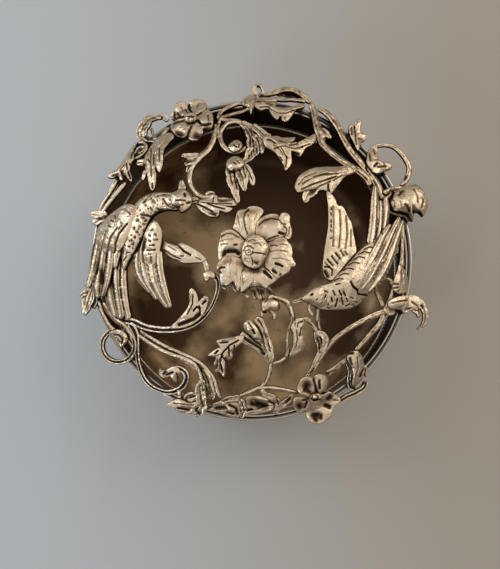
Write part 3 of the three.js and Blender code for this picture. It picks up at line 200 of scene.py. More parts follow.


# Painted light and shade on the floor, for the openwork's shadows and reflections and one pool of
# light: x, y, radius and the change of shade in the middle
FLOOR_LIGHT_AND_SHADOW = (
    (-14.7, 15.8, 14, 0.55), (15.9, 4, 12, -0.9), (-27, -8.7, 15, -1.35), (26, 20, 12, -0.7),
    (5, 36, 26, -1.2), (-24, 6, 10, -0.6), (27, -14, 12, -1.1), (-10, -22, 9, -0.5), (2, -2, 9, -0.5))


def aged_and_shaded_silver():
    """Polished outside and tan inside, where relief is 1. The spinner's rings are noise on the
    distance from the axis and the height. The tan is a mix by painted shade: soft clouds, which hold
    tarnish and dappled shade together, darker towards the back and the right, and the floor's
    painted shadows and pool of light, each 1 less the squared share of its radius. Dark bands run
    round the wall, painted reflections along with tarnish, and a few spots are laid over it."""
    silver = Finish(bpy.data.materials.new("aged silver with painted shade"))
    # The floor's tan runs from a painted shaded tan to a painted lit tan.
    shaded_tan, lit_tan = (0.15, 0.08, 0.042, 1), (0.80, 0.585, 0.35, 1)
    streak_brown, spot_brown = (0.19, 0.095, 0.055, 1), (0.12, 0.07, 0.04, 1)
    clean, dull = (0.80, 0.75, 0.67, 1), (0.52, 0.46, 0.38, 1)
    place = silver.node("TexCoord", out="Object")
    x, y, z = (silver.node("SeparateXYZ", (), {0: place}, axis) for axis in "XYZ")
    radius = (x ** 2 + y ** 2) ** 0.5
    rings = silver.noise(silver.node("CombineXYZ", (), {0: radius, 1: z, 2: radius * 0.1}), 900)
    streaks = silver.noise(silver.node("CombineXYZ", (), {0: x * 0.35, 1: y * 0.35, 2: z * 3}), 240, 3)
    wall = silver.clamped(z * 400 - 1.2)  # 0 on the floor, and 1 from 5.5 mm above the table
    clouds = silver.noise(place, 75, 4)
    spots = silver.clamped(silver.noise(place, 420, 2) * 8 - 5.3)
    inside = silver.attribute("relief")
    # Painted shade: darker towards the back and the right, away from the window, and in soft clouds.
    shade = clouds * 4.2 - 1.55 - y * 9 - x * 5
    for east, north, size, change in FLOOR_LIGHT_AND_SHADOW:
        away = ((x - east * MM) ** 2 + (y - north * MM) ** 2) * (size * MM) ** -2
        shade = shade + silver.clamped(1 - away) * change
    shade = silver.clamped(shade)
    tan = silver.mixed(shade, shaded_tan, lit_tan)
    # Dark bands round the wall: painted reflections along with tarnish.
    brown = silver.mixed(silver.clamped(streaks * 4 - 1.8) * wall, tan, streak_brown)
    brown = silver.mixed(spots * 0.5, brown, spot_brown)
    bright = silver.mixed(clouds * 0.5, clean, dull)
    colour = silver.mixed(inside, bright, brown)
    roughness = 0.16 + rings * 0.1 + inside * (0.26 + clouds * 0.2)
    return silver.metal(colour, roughness, rings * 0.5 + clouds, 0.05, 1 - inside * 0.25)


AGED_AND_SHADED_SILVER = aged_and_shaded_silver()
base = CUP_RADIUS - BASE_CORNER
inner = CUP_BORE - FLOOR_FILLET
half_way, lip = CUP_HEIGHT / 2, CUP_HEIGHT - LIP_EASE
cup_radius = np.concatenate([
    np.linspace(1, base, BASE_RINGS + 1)[:-1], base + BASE_CORNER * np.cos(CORNER),
    [CUP_RADIUS, CUP_RADIUS, CUP_RADIUS - LIP_EASE, CUP_BORE + LIP_EASE, CUP_BORE, CUP_BORE],
    inner + FLOOR_FILLET * np.cos(CORNER[::-1]), np.linspace(inner, 1, FLOOR_RINGS + 1)[1:]])
cup_height = np.concatenate([
    np.zeros(BASE_RINGS), BASE_CORNER + BASE_CORNER * np.sin(CORNER),
    [half_way, lip, CUP_HEIGHT, CUP_HEIGHT, lip, half_way],
    FLOOR + FLOOR_FILLET + FLOOR_FILLET * np.sin(CORNER[::-1]), np.full(FLOOR_RINGS, FLOOR)])
cup_inside = (np.arange(len(cup_radius)) >= BASE_RINGS + len(CORNER) + 4).astype(float)
make_piece("spun_cup", [turned(cup_radius, cup_height, cup_inside, loop=False)], AGED_AND_SHADED_SILVER,
           "box", FILED_EDGE)

# The cup's two wires: a flat wire soldered on the wall's top edge, on which the lid seats, and a
# foot wire round the base. Both are drawn silver, filed flush and polished.
MOUTH_HEIGHT = 28
SOLDER_GAP = 0.35
MOUTH_EASE = 0.3
FOOT_WIRE_WIDTH = 0.9
FOOT_WIRE_HEIGHT = 1.8
FOOT_EASE = 0.6


def polished_silver():
    """Bright silver with the polisher's fine rings and a little tarnish in soft clouds. Where relief
    is 0 it is painted near black: painted shade in the joints of the wires and a painted reflection
    of the dark box on the collar's inner face."""
    silver = Finish(bpy.data.materials.new("polished silver"))
    clean, dull, black = (0.88, 0.82, 0.72, 1), (0.58, 0.50, 0.40, 1), (0.05, 0.042, 0.045, 1)
    place = silver.node("TexCoord", out="Object")
    x, y, z = (silver.node("SeparateXYZ", (), {0: place}, axis) for axis in "XYZ")
    radius = (x ** 2 + y ** 2) ** 0.5
    rings = silver.noise(silver.node("CombineXYZ", (), {0: radius, 1: z, 2: x * 0.02}), 2500)
    clouds = silver.noise(place, 160, 4)
    # Relief 0 marks the faces painted near black, as painted shade and painted dark reflection.
    unshaded = silver.attribute("relief")
    bright = silver.mixed(clouds * 0.6, clean, dull)
    colour = silver.mixed(unshaded, black, bright)
    roughness = 0.12 + rings * 0.12 + clouds * 0.14
    return silver.metal(colour, roughness, rings * 0.5 + clouds * 0.5, 0.012)


def flat_wire(inner, outer, low, high, ease):
    """The outline of a flat wire bent into a ring, with upper corners that are quarter circles of
    radius ease. Its relief falls to its inner side, which is painted dark as shade in the joint."""
    bend = np.radians(np.linspace(0, 90, 7))
    middle = (inner + outer) / 2
    radius = np.concatenate([
        [inner, middle, outer, outer], outer - ease + ease * np.cos(bend),
        [middle], inner + ease - ease * np.sin(bend)])
    height = np.concatenate([
        [low, low, low, (low + high) / 2], high - ease + ease * np.sin(bend),
        [high], high - ease + ease * np.cos(bend)])
    return radius, height, np.clip((radius - inner) / (outer - inner) * 2.4 - 1, 0.05, 1)


POLISHED_SILVER = polished_silver()
mouth_outline = flat_wire(CUP_BORE, RIM_RADIUS, CUP_HEIGHT, MOUTH_HEIGHT, MOUTH_EASE)
make_piece("mouth_wire", [turned(*mouth_outline)], POLISHED_SILVER, "box",
           FILED_EDGE)
foot_inside, foot_outside = CUP_RADIUS + 0.02, CUP_RADIUS + SOLDER_GAP + FOOT_WIRE_WIDTH
foot_outline = flat_wire(foot_inside, foot_outside, 0, FOOT_WIRE_HEIGHT, FOOT_EASE)
make_piece("foot_wire", [turned(*foot_outline)], POLISHED_SILVER, "box",
           FILED_EDGE)

# The lid's frame: a polished collar that slides into the cup, with a rolled bead on its lower edge
# and an inner face painted near black as a painted reflection of the dark box, inside a cast-edged
# wire that seats on the mouth and bears the openwork.
LID_SEAT = MOUTH_HEIGHT + 0.1
LID_TOP = LID_SEAT + 1.2
COLLAR_RADIUS = CUP_BORE - 0.3
COLLAR_WALL = 0.4
COLLAR_FOOT = LID_SEAT - 8.9
COLLAR_EASE = 0.1
BEAD = 0.32
BEAD_OUT = 0.06
EDGE_WIRE_EASE = 0.35
collar_inside = COLLAR_RADIUS - COLLAR_WALL
collar_top = LID_TOP - SOLDER_GAP
roll = np.radians(np.linspace(-90, -270, 13))
face = np.linspace(collar_top - 0.2, COLLAR_FOOT + 2.2 * BEAD, 6)
collar_radius = np.concatenate([
    [COLLAR_RADIUS - COLLAR_EASE, COLLAR_RADIUS, COLLAR_RADIUS, COLLAR_RADIUS, collar_inside],
    np.full(len(face), collar_inside), collar_inside + BEAD_OUT + BEAD * np.cos(roll[::-1])])
collar_height = np.concatenate([
    [COLLAR_FOOT, COLLAR_FOOT + COLLAR_EASE, COLLAR_FOOT + 4, collar_top, collar_top],
    face, COLLAR_FOOT + BEAD + BEAD * np.sin(roll[::-1])])
# The collar's inner face is painted near black, a painted reflection of the dark inside of the box.
collar_unshaded = np.concatenate([np.ones(4), np.zeros(1 + len(face)), np.ones(len(roll))])
make_piece("lid_collar", [turned(collar_radius, collar_height, collar_unshaded)],
           POLISHED_SILVER, "lid", FILED_EDGE)
edge_outline = flat_wire(COLLAR_RADIUS + 0.05, RIM_RADIUS, LID_SEAT, LID_TOP, EDGE_WIRE_EASE)
make_piece("lid_edge_wire", [turned(*edge_outline)], POLISHED_SILVER, "lid",
           FILED_EDGE)

# The openwork: each flower, leaf, scroll and feather is a separate silver casting, soldered to its
# neighbours, with brown and black left in its hollows where no polishing cloth reaches.
# Beyond the patina, the castings' lower sides and what lies beneath other castings are painted dark as
# shade, and raised lines are painted light as highlights.
DOME_FOOT = LID_TOP + SOLDER_GAP + 0.55
DOME_RISE = 8.5
DOME_SLOPE = 2 * DOME_RISE / RIM_RADIUS ** 2
EYE_HEIGHT = 123
EYE_FORWARD = 26.7
STEP = 0.15
FEWEST_AROUND, MOST_AROUND = 14, 100
PLAIN_RELIEF = 0.66
RELIEF_PER_MM = 2.6


def cast_silver():
    """Cream silver on the crests, tan on the slopes and near black in the hollows, where patina lies.
    The share is the relief of the surface, which holds painted shade on the lower sides and painted
    highlights on raised lines, less the ambient occlusion of what stands round it, which paints
    patina and shade into the hollows and beneath the castings, broken by soft clouds."""
    silver = Finish(bpy.data.materials.new("cast silver"))
    place = silver.node("TexCoord", out="Object")
    clouds = silver.noise(place, 420, 3)
    grain = silver.noise(place, 2600, 2)
    lumps = silver.noise(place, 1100, 2)
    # Ambient occlusion: patina in the hollows, and painted shade between and beneath the castings.
    patina_and_shade = silver.node("AmbientOcclusion", {"samples": 6}, {"Distance": 1.6 * MM}, "AO")
    crest_and_light = silver.clamped(silver.attribute("relief") * 1.45 + patina_and_shade * 0.7 + clouds * 0.6 - 1.13)
    colour = silver.node("ValToRGB", {"stops": (
        (0.0, (0.010, 0.005, 0.004)), (0.3, (0.065, 0.038, 0.024)), (0.55, (0.35, 0.245, 0.15)),
        (0.78, (0.76, 0.61, 0.44)), (1.0, (0.88, 0.78, 0.63)))}, {"Fac": crest_and_light})
    roughness = 0.3 - crest_and_light * 0.1 + clouds * 0.14
    return silver.metal(colour, roughness, grain * 0.3 + lumps, 0.17, 0.66 + crest_and_light * 0.22)


def on_dome(x, y, lift):
    """Places of drawn points. The drawing lies in the rim's plane, as an eye over the front of the
    box sees it: the line from the eye through a point is followed down to the dome's height, which
    falls from its middle as the square of the radius, plus the point's lift. Eight rounds of
    height and place settle it."""
    drawn = np.column_stack([x, y])
    eye = np.array([0, -EYE_FORWARD])
    place = drawn
    for _ in range(8):
        share = np.minimum(np.hypot(*place.T) / RIM_RADIUS, 1)
        height = DOME_FOOT + DOME_RISE * (1 - share ** 2) + lift
        nearness = 1 - (height - LID_SEAT) / EYE_HEIGHT
        place = (drawn - eye) * nearness[:, None] + eye
    return np.column_stack([place, height]), nearness


def smooth(values, at):
    """A smooth curve through the values, read at fractions of their index: on each span, the cubic
    whose ends lean as the line between the two neighbours does."""
    padded = np.concatenate([[2 * values[0] - values[1]], values, [2 * values[-1] - values[-2]]])
    first = np.clip(at.astype(int), 0, len(values) - 2)
    part = (at - first).reshape(-1, *[1] * (values.ndim - 1))
    a, b, c, d = (padded[first + k] for k in range(4))
    return b + part * (c - a + part * (2 * a - 5 * b + 4 * c - d + part * (3 * b - a - 3 * c + d))) / 2


def strand(rows, thick, lift, camber, carve, hem=None, square=0.5):
    """A closed skin along a smooth path through rows of x, y, half width and any extra lift. Round
    the section, u is the cosine of the angle and goes across, and its sine, to the power square,
    goes up. The middle of the metal bends by camber(u), in half widths, and carve(u, w, s, t) is
    added to its top, in mm, where w is the half width, t the share of the length so far, and s the
    length from a start that differs from strand to strand. Hem(s, t, u) is the outline's share of
    the half width. Both ends are rounded, and rings stand closer there."""
    rows = np.array([(*row, 0)[:4] for row in rows], float)
    middles, scale = on_dome(rows[:, 0], rows[:, 1], lift + rows[:, 3])
    spans = np.append(0, np.cumsum(np.linalg.norm(np.diff(middles, axis=0), axis=1)))
    count = max(int(spans[-1] / STEP), 8)
    eased = (1 - np.cos(np.linspace(0, np.pi, count))) / 2
    share = 0.75 * np.linspace(0, 1, count) + 0.25 * eased
    at = np.interp(share * spans[-1], spans, np.arange(len(rows)))
    middle = smooth(middles, at)
    width = np.maximum(smooth(rows[:, 2] * scale, at), 0.1)
    along = np.gradient(middle, axis=0)
    along /= np.linalg.norm(along, axis=1)[:, None]
    slope = np.column_stack([middle[:, :2] * DOME_SLOPE, np.ones(count)])
    across = np.cross(along, slope)
    across /= np.linalg.norm(across, axis=1)[:, None]
    up = np.cross(across, along)
    length = share * spans[-1]
    reach = np.where(share < 0.5, width[0], width[-1]) * 0.9 + 0.05
    ends = np.clip(np.minimum(length, spans[-1] - length) / reach, 0, 1)
    ends = np.sqrt(1 - (1 - ends) ** 2 * 0.985)[:, None]
    around = int(np.clip(width.max() * 4 / STEP, FEWEST_AROUND, MOST_AROUND)) // 2 * 2
    angle = np.linspace(0, 2 * np.pi, around, endpoint=False)
    u, side = np.cos(angle)[None], np.sin(angle)[None]
    w, t = width[:, None], share[:, None]
    s = length[:, None] + 3.7 * (rows[0, 0] + rows[0, 1])
    half = thick * (0.5 + 0.5 * w / width.max())
    cut = carve(u, w, s, t) * (side > 0) * np.abs(side) ** 0.5
    edge = w if hem is None else w * hem(s, t, u)
    rise = camber(u) * w + np.sign(side) * np.abs(side) ** square * half + cut
    rings = (middle[:, None] + across[:, None] * (u * edge * ends)[..., None]
             + up[:, None] * (rise * ends)[..., None])
    # Painted shade: the relief falls to 0 round the lower half of the section, so the sides and underside
    # are painted dark.
    relief = np.clip(PLAIN_RELIEF + cut * RELIEF_PER_MM, 0, 1) * np.clip(side * 3.4 - 0.1, 0, 1)
    return shell(rings, np.broadcast_to(relief, rings.shape[:2]).copy())


def bump_at(u, place, breadth):
    """A rounded ridge: the bell curve exp(-((u - place) / breadth)^2)."""
    return np.exp(-((u - place) / breadth) ** 2)


def flat(u):
    """Metal that doesn't bend across its width."""
    return 0 * u


def waves(s, u):
    """The slow unevenness of a hand-modelled surface, along the strand and across it."""
    return 0.02 * np.sin(1.9 * s + 2.3 * u) + 0.015 * np.sin(4.3 * s - 3.1 * u)


def scallops(s, t, u, depth, pitch):
    """The outline's share of the half width: round lobes of this pitch, with narrow notches where
    the cosine of the length, to the power 6, is near 1."""
    notch = np.abs(np.cos(np.pi * s / pitch + 0.9 * np.sign(u))) ** 6
    return 1.05 - depth * notch * np.minimum(np.sin(np.pi * t) * 2.5, 1)


def stem(*rows, thick=0.55, lift=0):
    """Round wire with a shallow groove beside its top."""
    return strand(rows, thick, lift, flat, lambda u, w, s, t: waves(s, u) - 0.1 * bump_at(u, 0.45, 0.2),
                  square=0.7)


def scroll(*rows, thick=0.55, lift=0):
    """A stem with a square channel between two raised edges."""
    return strand(rows, thick, lift, flat, lambda u, w, s, t:
                  0.1 * bump_at(np.abs(u), 0.7, 0.2) - 0.4 * np.exp(-((u - 0.1) / 0.3) ** 4)
                  + waves(s, u))


def leaf(*rows, thick=0.6, lift=0.3):
    """A leaf, cupped as the square of u, with a groove for its midrib, soft furrows on both sides,
    and lobes on its edge."""
    return strand(
        rows, thick * 0.8, lift, lambda u: 0.16 * u ** 2,
        lambda u, w, s, t: waves(s, u) + 0.06 * bump_at(np.abs(u), 0.85, 0.12)
        - 0.2 * bump_at(u, 0, 0.1) * (0.4 + 0.6 * np.sin(np.pi * t))
        - 0.13 * np.clip(w - 0.8, 0, 1) * bump_at(np.abs(u), 0.5 + 0.1 * np.sin(s), 0.1),
        lambda s, t, u: scallops(s, t, u, 0.2, 3.1), square=0.4)


def feather(*rows, thick=0.75, lift=1.9):
    """A flight feather: a quill down the middle, with fine barbs near its foot."""
    return strand(
        rows, thick * 0.8, lift, lambda u: -0.1 * u ** 2,
        lambda u, w, s, t: 0.08 * bump_at(u, 0, 0.3) - 0.16 * bump_at(np.abs(u), 0.5, 0.09)
        - 0.2 * bump_at(u, 0.75, 0.16) * np.cos(np.pi * s / 1.1) ** 4 * np.clip(1.4 - 2 * t, 0, 1),
        square=0.4)


def plumage(*rows, thick=1.5, lift=1.3):
    """A rounded body, pitted for its small feathers where two crossing cosines are both high."""
    return strand(
        rows, thick, lift, flat,
        lambda u, w, s, t: waves(s, u) * 0.6 - 0.5 * np.clip(
            np.cos(np.pi * (s / 1.5 + u * w / 1.1 + 0.3 * np.sin(s)))
            * np.cos(np.pi * (s / 1.5 - u * w / 1.1)) - 0.62, 0, 1), square=0.6)


def bud(*rows, thick=1.1, lift=2.2):
    """A round bud with a crease down its middle."""
    return strand(rows, thick, lift, flat, lambda u, w, s, t: -0.3 * bump_at(u, 0, 0.12))


def plate(*outline, thick=0.6, lift=1.2, crown=0.3):
    """A flat piece from the corners of its outline in the drawing: x, y and any extra lift. Point j
    of ring i lies at a share r of the way from the middle to point j of the smooth outline. The
    rings run out over the top, which the middle crowns by 1 - r^2, down the edge and back beneath."""
    corners = np.array([(*corner, 0)[:3] for corner in outline], float)
    after = np.roll(corners, -1, 0)
    if (corners[:, 0] * after[:, 1] - after[:, 0] * corners[:, 1]).sum() < 0:
        corners = corners[::-1]
    corners = np.vstack([corners[-2:], corners, corners[:3]])
    sides = np.linalg.norm(np.diff(corners[:, :2], axis=0), axis=1)[2:-2]
    spans = np.append(0, np.cumsum(sides))
    steps = np.linspace(0, spans[-1], max(int(spans[-1] / STEP), 16), endpoint=False)
    curve = smooth(corners, np.interp(steps, spans, np.arange(len(spans))) + 2)
    middle = curve.mean(0)
    reach = np.linalg.norm(curve - middle, axis=1).max()
    top = np.linspace(0.02, 1 - 0.3 / reach, max(int(reach / STEP), 4))
    edge_in, edge_up = np.array([0.18, 0.07, 0, 0, 0.1]), [0.95, 0.78, 0.45, -0.6, -0.95]
    beneath = [0.8, 0.5, 0.1]
    share = np.concatenate([top, 1 - edge_in / reach, beneath])
    side = np.concatenate([np.ones(len(top)), edge_up, -np.ones(len(beneath))])
    drawn = middle + share[:, None, None] * (curve - middle)
    x, y = drawn[..., 0], drawn[..., 1]
    r = share[:, None] * np.ones(len(curve))
    up = lift + crown * (1 - r ** 2) + (curve[:, 2] - middle[2]) * r ** 2 + middle[2]
    places, _ = on_dome(x.ravel(), y.ravel(), up.ravel())
    rings = places.reshape(*r.shape, 3)
    ripple = 0.05 * np.sin(1.7 * x + 0.8 * y) * np.sin(1.3 * y - x)
    rings[..., 2] += side[:, None] * thick + ripple * (side[:, None] > 0)
    # Painted shade: the edge and the underside are painted dark.
    relief = PLAIN_RELIEF * np.clip(side[:, None] * 2.6 - 0.8, 0.05, 1) * np.ones_like(r)
    return shell(rings, relief)


def swell(x, y, radius, extra=0):
    """Rows for a strand that swells like a ball: a short path with a wide middle."""
    along = np.array([-1, -0.7, 0, 0.7, 1])
    width = np.array([0.3, 0.75, 1, 0.75, 0.3])
    return np.column_stack([x + along * radius, np.full(5, y), width * radius, np.full(5, extra)])


CAST_SILVER = cast_silver()
# The engraved lines: the least and most their depths add up to, the mm a depth of 1 sinks the metal, and
# how much they paint it, darker where sunk, as patina and painted shade, and lighter where raised, as a
# painted highlight.
RAISED_MOST, SUNK_MOST = -0.4, 0.7
SINK_PER_DEPTH = 0.6
PATINA_AND_SHADE_PER_DEPTH = 0.7


def engraved(shells, cuts):
    """Sinks lines of the drawing into the tops of the shells. Each cut is a half width, a depth
    (less than nothing for a raised line), and the lines that have them, each the x and y of its
    points in turn. Depth falls off as the bell curve exp(-(distance / half width)^2), and where
    lines cross, their depths add up, to a limit."""
    for points, relief, quads, fans in shells:
        nearness = 1 - (points[:, 2:] - LID_SEAT) / EYE_HEIGHT
        drawn = (points[:, :2] + (0, EYE_FORWARD)) / nearness - (0, EYE_FORWARD)
        depth = np.zeros(len(points))
        for width, deep, places in [(*cut[:2], places) for cut in cuts for places in cut[2:]]:
            line = np.reshape(places, (-1, 2)).astype(float)
            start, run = line[:-1], np.diff(line, axis=0)
            part = ((drawn[:, None] - start) * run).sum(-1) / (run ** 2).sum(-1)
            reach = drawn[:, None] - start - np.clip(part, 0, 1)[..., None] * run
            depth += deep * np.exp(-(np.linalg.norm(reach, axis=-1).min(1) / width) ** 2)
        depth = np.clip(depth, RAISED_MOST, SUNK_MOST) * np.clip(relief * 4 - 1, 0, 1)
        points[:, 2] -= depth * SINK_PER_DEPTH
        # Sunk lines are painted darker: patina in the fine grooves and painted shade in the broad bands.
        # Raised lines are painted lighter, as painted highlights.
        yield points, np.clip(relief - depth * PATINA_AND_SHADE_PER_DEPTH, 0, 1), quads, fans


def casting(name, *shells, cuts=()):
    """One casting of the openwork, from the shells that it is modelled in and its engraved lines."""
    make_piece(name, list(engraved(shells, cuts)), CAST_SILVER, "lid")


# The flower on the middle of the dome: a heart of buds in six cupped petals, on a calyx of tips.
# Each is a silver casting, engraved along its folds and soldered to the ones beside it.
casting("flower_heart",
    plate((-2.6, 2.2), (-2.4, 4), (-1.2, 5.8), (.4, 6.8), (2.2, 6.4), (3.4, 5.2), (4.2, 4), (4.1, 2.4),
        (3.2, .4), (2.4, -1), (1, -1.8), (-.6, -1.5), (-2, -.6), (-2.6, .8), thick=.8, lift=2.2,
        crown=.9),
    cuts=((.14, .3, (-2.1, 2.8, -1.7, 3.9, -.6, 4.1, .3, 3.4, .2, 2.2, -.6, 1.7, -1.5, 1.9, -1.7, 2.8)),
        (.12, .25, (-1.3, 2.8, -.8, 3.2, -.4, 2.7, -.9, 2.3)),
        (.12, .3, (.4, 4.6, 1.6, 4.9, 2.2, 4.2), (-1, 5.2, .2, 5.8, .9, 5.4)),
        (.14, .4, (.1, 2.5, 1, 2.3, 2.2, 2.2, 3.5, 1.8)), (.4, .45, (.7, -.2, 1.3, -.4)),
        (.14, .35, (-.2, 1.2, .2, .2, .1, -.8)), (.15, .3, (-1.9, 1, -1.5, .3, -.8, .1)),
        (.16, -.3, (-2, -.2, -1, -1, .2, -1.4))))
casting("flower_petal_front",
    plate((-2.2, -1.4), (-2.8, -3), (-3.1, -5), (-3, -7), (-2.6, -7.6), (-1.4, -7), (-.4, -6.3),
        (1, -6.2), (2.4, -6.2), (3.6, -6.8), (4.4, -6), (5.6, -5.2), (6.4, -4.4), (5.6, -3.6),
        (4.4, -2.4), (2.8, -1.4), (1, -1.2), (-.6, -1.2), thick=.6, lift=1.1, crown=.5),
    cuts=((.8, .24, (-1.6, -2, 1, -2.2, 3, -2.4)), (.32, .7, (3.2, -2.4, 4, -3.2, 4.8, -3.9)),
        (.14, -.3, (3.6, -2.2, 4.6, -3.1, 5.2, -3.9)), (.15, .2, (-2.2, -2, -2.4, -4, -2.2, -6.4)),
        (.12, .15, (.4, -2.4, .2, -4, .8, -5.8))))
casting("flower_petal_right",
    plate((3.4, 4.4), (5, 5.4), (6.8, 6.1, .3), (8.4, 6, .4), (9, 5, .3), (9.8, 4), (10.2, 2.4),
        (10.1, 1), (11, -.6), (10.8, -1.2), (9.8, -1.6), (9.4, -2.6), (8.2, -3.3), (7.2, -3.8),
        (6.4, -4.4), (5.2, -3.4), (4.2, -2.2), (3, -1), (3, 1), (3.4, 3), thick=.6, lift=1.3, crown=.4),
    cuts=((.7, .2, (5.6, 5.2, 8, 5.6)), (.22, .6, (5.9, -.4, 6.8, -.6, 7.6, -1.1)),
        (.36, .6, (5.3, -2.1, 6, -2.6)), (.24, .4, (7, -3.3, 7.3, -3.1)),
        (.13, .3, (4.6, 4.1, 5.4, 4.3, 6.4, 4.1)), (.12, .25, (6.8, 4.4, 7.6, 4.5, 8.6, 4.2)),
        (.14, .2, (4.4, 2.6, 6.4, 3, 8.8, 2.6)), (.12, .15, (5, .8, 7, 1, 9.6, .2))))
casting("flower_petal_back_right",
    plate((.8, 7.6), (1.2, 9.8), (2.6, 11.2), (4.4, 11.9), (6.2, 11.9), (6.9, 11.3), (7.4, 12.1, .3),
        (8.6, 12.2, .3), (9.5, 11.4, .2), (9.6, 9.6), (10, 8), (9.9, 6.2), (9.1, 5.4), (8, 6), (6.3, 5.8),
        (4.3, 5), (3, 5.4), (1.4, 6), thick=.6, lift=1.5, crown=.5),
    cuts=((.9, .24, (1.8, 9, 3.4, 10.6, 6, 11.2)),
        (.14, .3, (1.8, 9.4, 3, 10.5, 4.8, 11, 6.8, 10.6, 7.4, 9.6, 8.4, 9.4),
            (9.4, 8.8, 9.3, 7.4, 8.9, 6.4)), (.34, .6, (6.9, 7.3, 8, 7)),
        (.16, .4, (8, 9.2, 8.7, 8.2, 8.5, 6.8, 8, 6.2)), (.14, -.3, (7.6, 8.2, 8.2, 8.4, 8.5, 7.6)),
        (.25, .35, (4, 5.6, 5.4, 6.2, 6.6, 6.5))))
casting("flower_petal_back",
    plate((-1.9, 5.6), (-3.4, 7.2), (-4.8, 8.2), (-4.3, 10.2), (-3.9, 12), (-3.2, 12.9), (-1.6, 13.2),
        (-.6, 13.8, .3), (1, 13.9, .4), (2.2, 13.5, .3), (3, 12.6), (2.6, 11.7), (1.8, 10.4), (1.2, 8.4),
        (1, 6), (-.4, 5.4), thick=.6, lift=1.1, crown=.4),
    cuts=((.9, .22, (-3.2, 11.6, -1, 12.9, 1.6, 12.8)),
        (.16, .35, (-.8, 13.2, -1.8, 12.3, -2.1, 11, -1.8, 9, -1.2, 7)),
        (.12, .2, (-1, 12, -.4, 10.4, -.6, 8)), (.14, -.2, (-1.4, 12.2, -1.6, 11, -1.4, 9.4)),
        (.12, .15, (1.2, 12, .6, 10.6)), (.13, .2, (-3.6, 11.4, -3, 9))))
casting("flower_petal_left",
    plate((-2, 5.4), (-3.6, 7.2), (-5.2, 8.1, .2), (-6.8, 7.8, .2), (-7.9, 6.8), (-8.2, 5), (-8.5, 3.6),
        (-8.5, 1.8), (-8.3, -.2), (-7.4, .6), (-5.2, 1.2), (-3, 1), (-2, 2.8), (-1.8, 4.4), thick=.6,
        lift=1.3, crown=.4),
    cuts=((.8, .2, (-7.6, 6.4, -5, 7.4, -3, 6.2)),
        (.42, .8, (-7.1, 1.7, -6.6, 2.7, -5.5, 2.8, -4.2, 2.8, -3.3, 2.2)),
        (.14, -.3, (-7.6, 2.4, -6.8, 3.6, -5, 3.7, -3.4, 3.2)), (.2, .45, (-4.5, 4.3, -3.8, 4.4)),
        (.13, .25, (-7.7, 6.4, -6.4, 7.2, -5, 7.2, -3.2, 6.2)),
        (.12, .2, (-7.9, 5.3, -6.4, 5.7, -4.8, 5.8), (-7.8, 4.4, -6, 4.6))))
casting("flower_petal_front_left",
    plate((-2.4, .6), (-5.2, 1.9), (-7.4, 1.2), (-8.6, -.4), (-8.9, -1.8), (-8.4, -2.4), (-8.1, -4),
        (-7.8, -5.9), (-7, -5.9), (-6, -6), (-5.2, -5.4), (-4.4, -5.8), (-3.6, -7.4, -.3), (-3.1, -7),
        (-2.8, -5), (-2.6, -3), (-1.9, -1.4), (-1.8, 0), thick=.6, lift=1.2, crown=.5),
    stem((-7.8, -5.9, .3), (-7, -6.5, .4), (-6.3, -7, .3), lift=.8),
    stem((-5.2, -6, .3), (-4.4, -6.9, .4), (-3.7, -7.7, .3), lift=.8),
    cuts=((.8, .22, (-8, -.8, -5.4, .4, -3, -.4)), (.2, .5, (-8.2, -1.7, -7.6, -1.3, -6.9, -1.3)),
        (.3, .6, (-8.6, -2.2, -8, -2.6)), (.18, .5, (-5.4, -5.8, -4.8, -5, -4.6, -5.6)),
        (.12, .2, (-5.2, 1, -5.6, -1, -5.4, -3)), (.12, .15, (-3.8, 0, -4, -3, -3.6, -5))))
casting("flower_calyx",
    leaf((-2.6, -6.2, .8), (-.6, -6.2, .9), (1, -5.8, 1), (4.2, -6.2, .8), lift=-.5),
    leaf((.1, -6.2, .7), (.7, -8, .7), (1.1, -9.4, .35), lift=-.5),
    leaf((3.2, -5.8, .8), (4.4, -7.6, .8), (5.8, -9.1, .5), lift=-.5),
    leaf((1.9, -6, 1.2), (2.3, -8, 1.3), (2.8, -9.6, .8), lift=-.5),
    leaf((-2.6, -6.2, .6), (-1.7, -7.8, .6), (-.7, -9, .35), lift=-.5),
    cuts=((1, .4, (-2.4, -7.4, 1, -7.4, 5, -7.6)),))

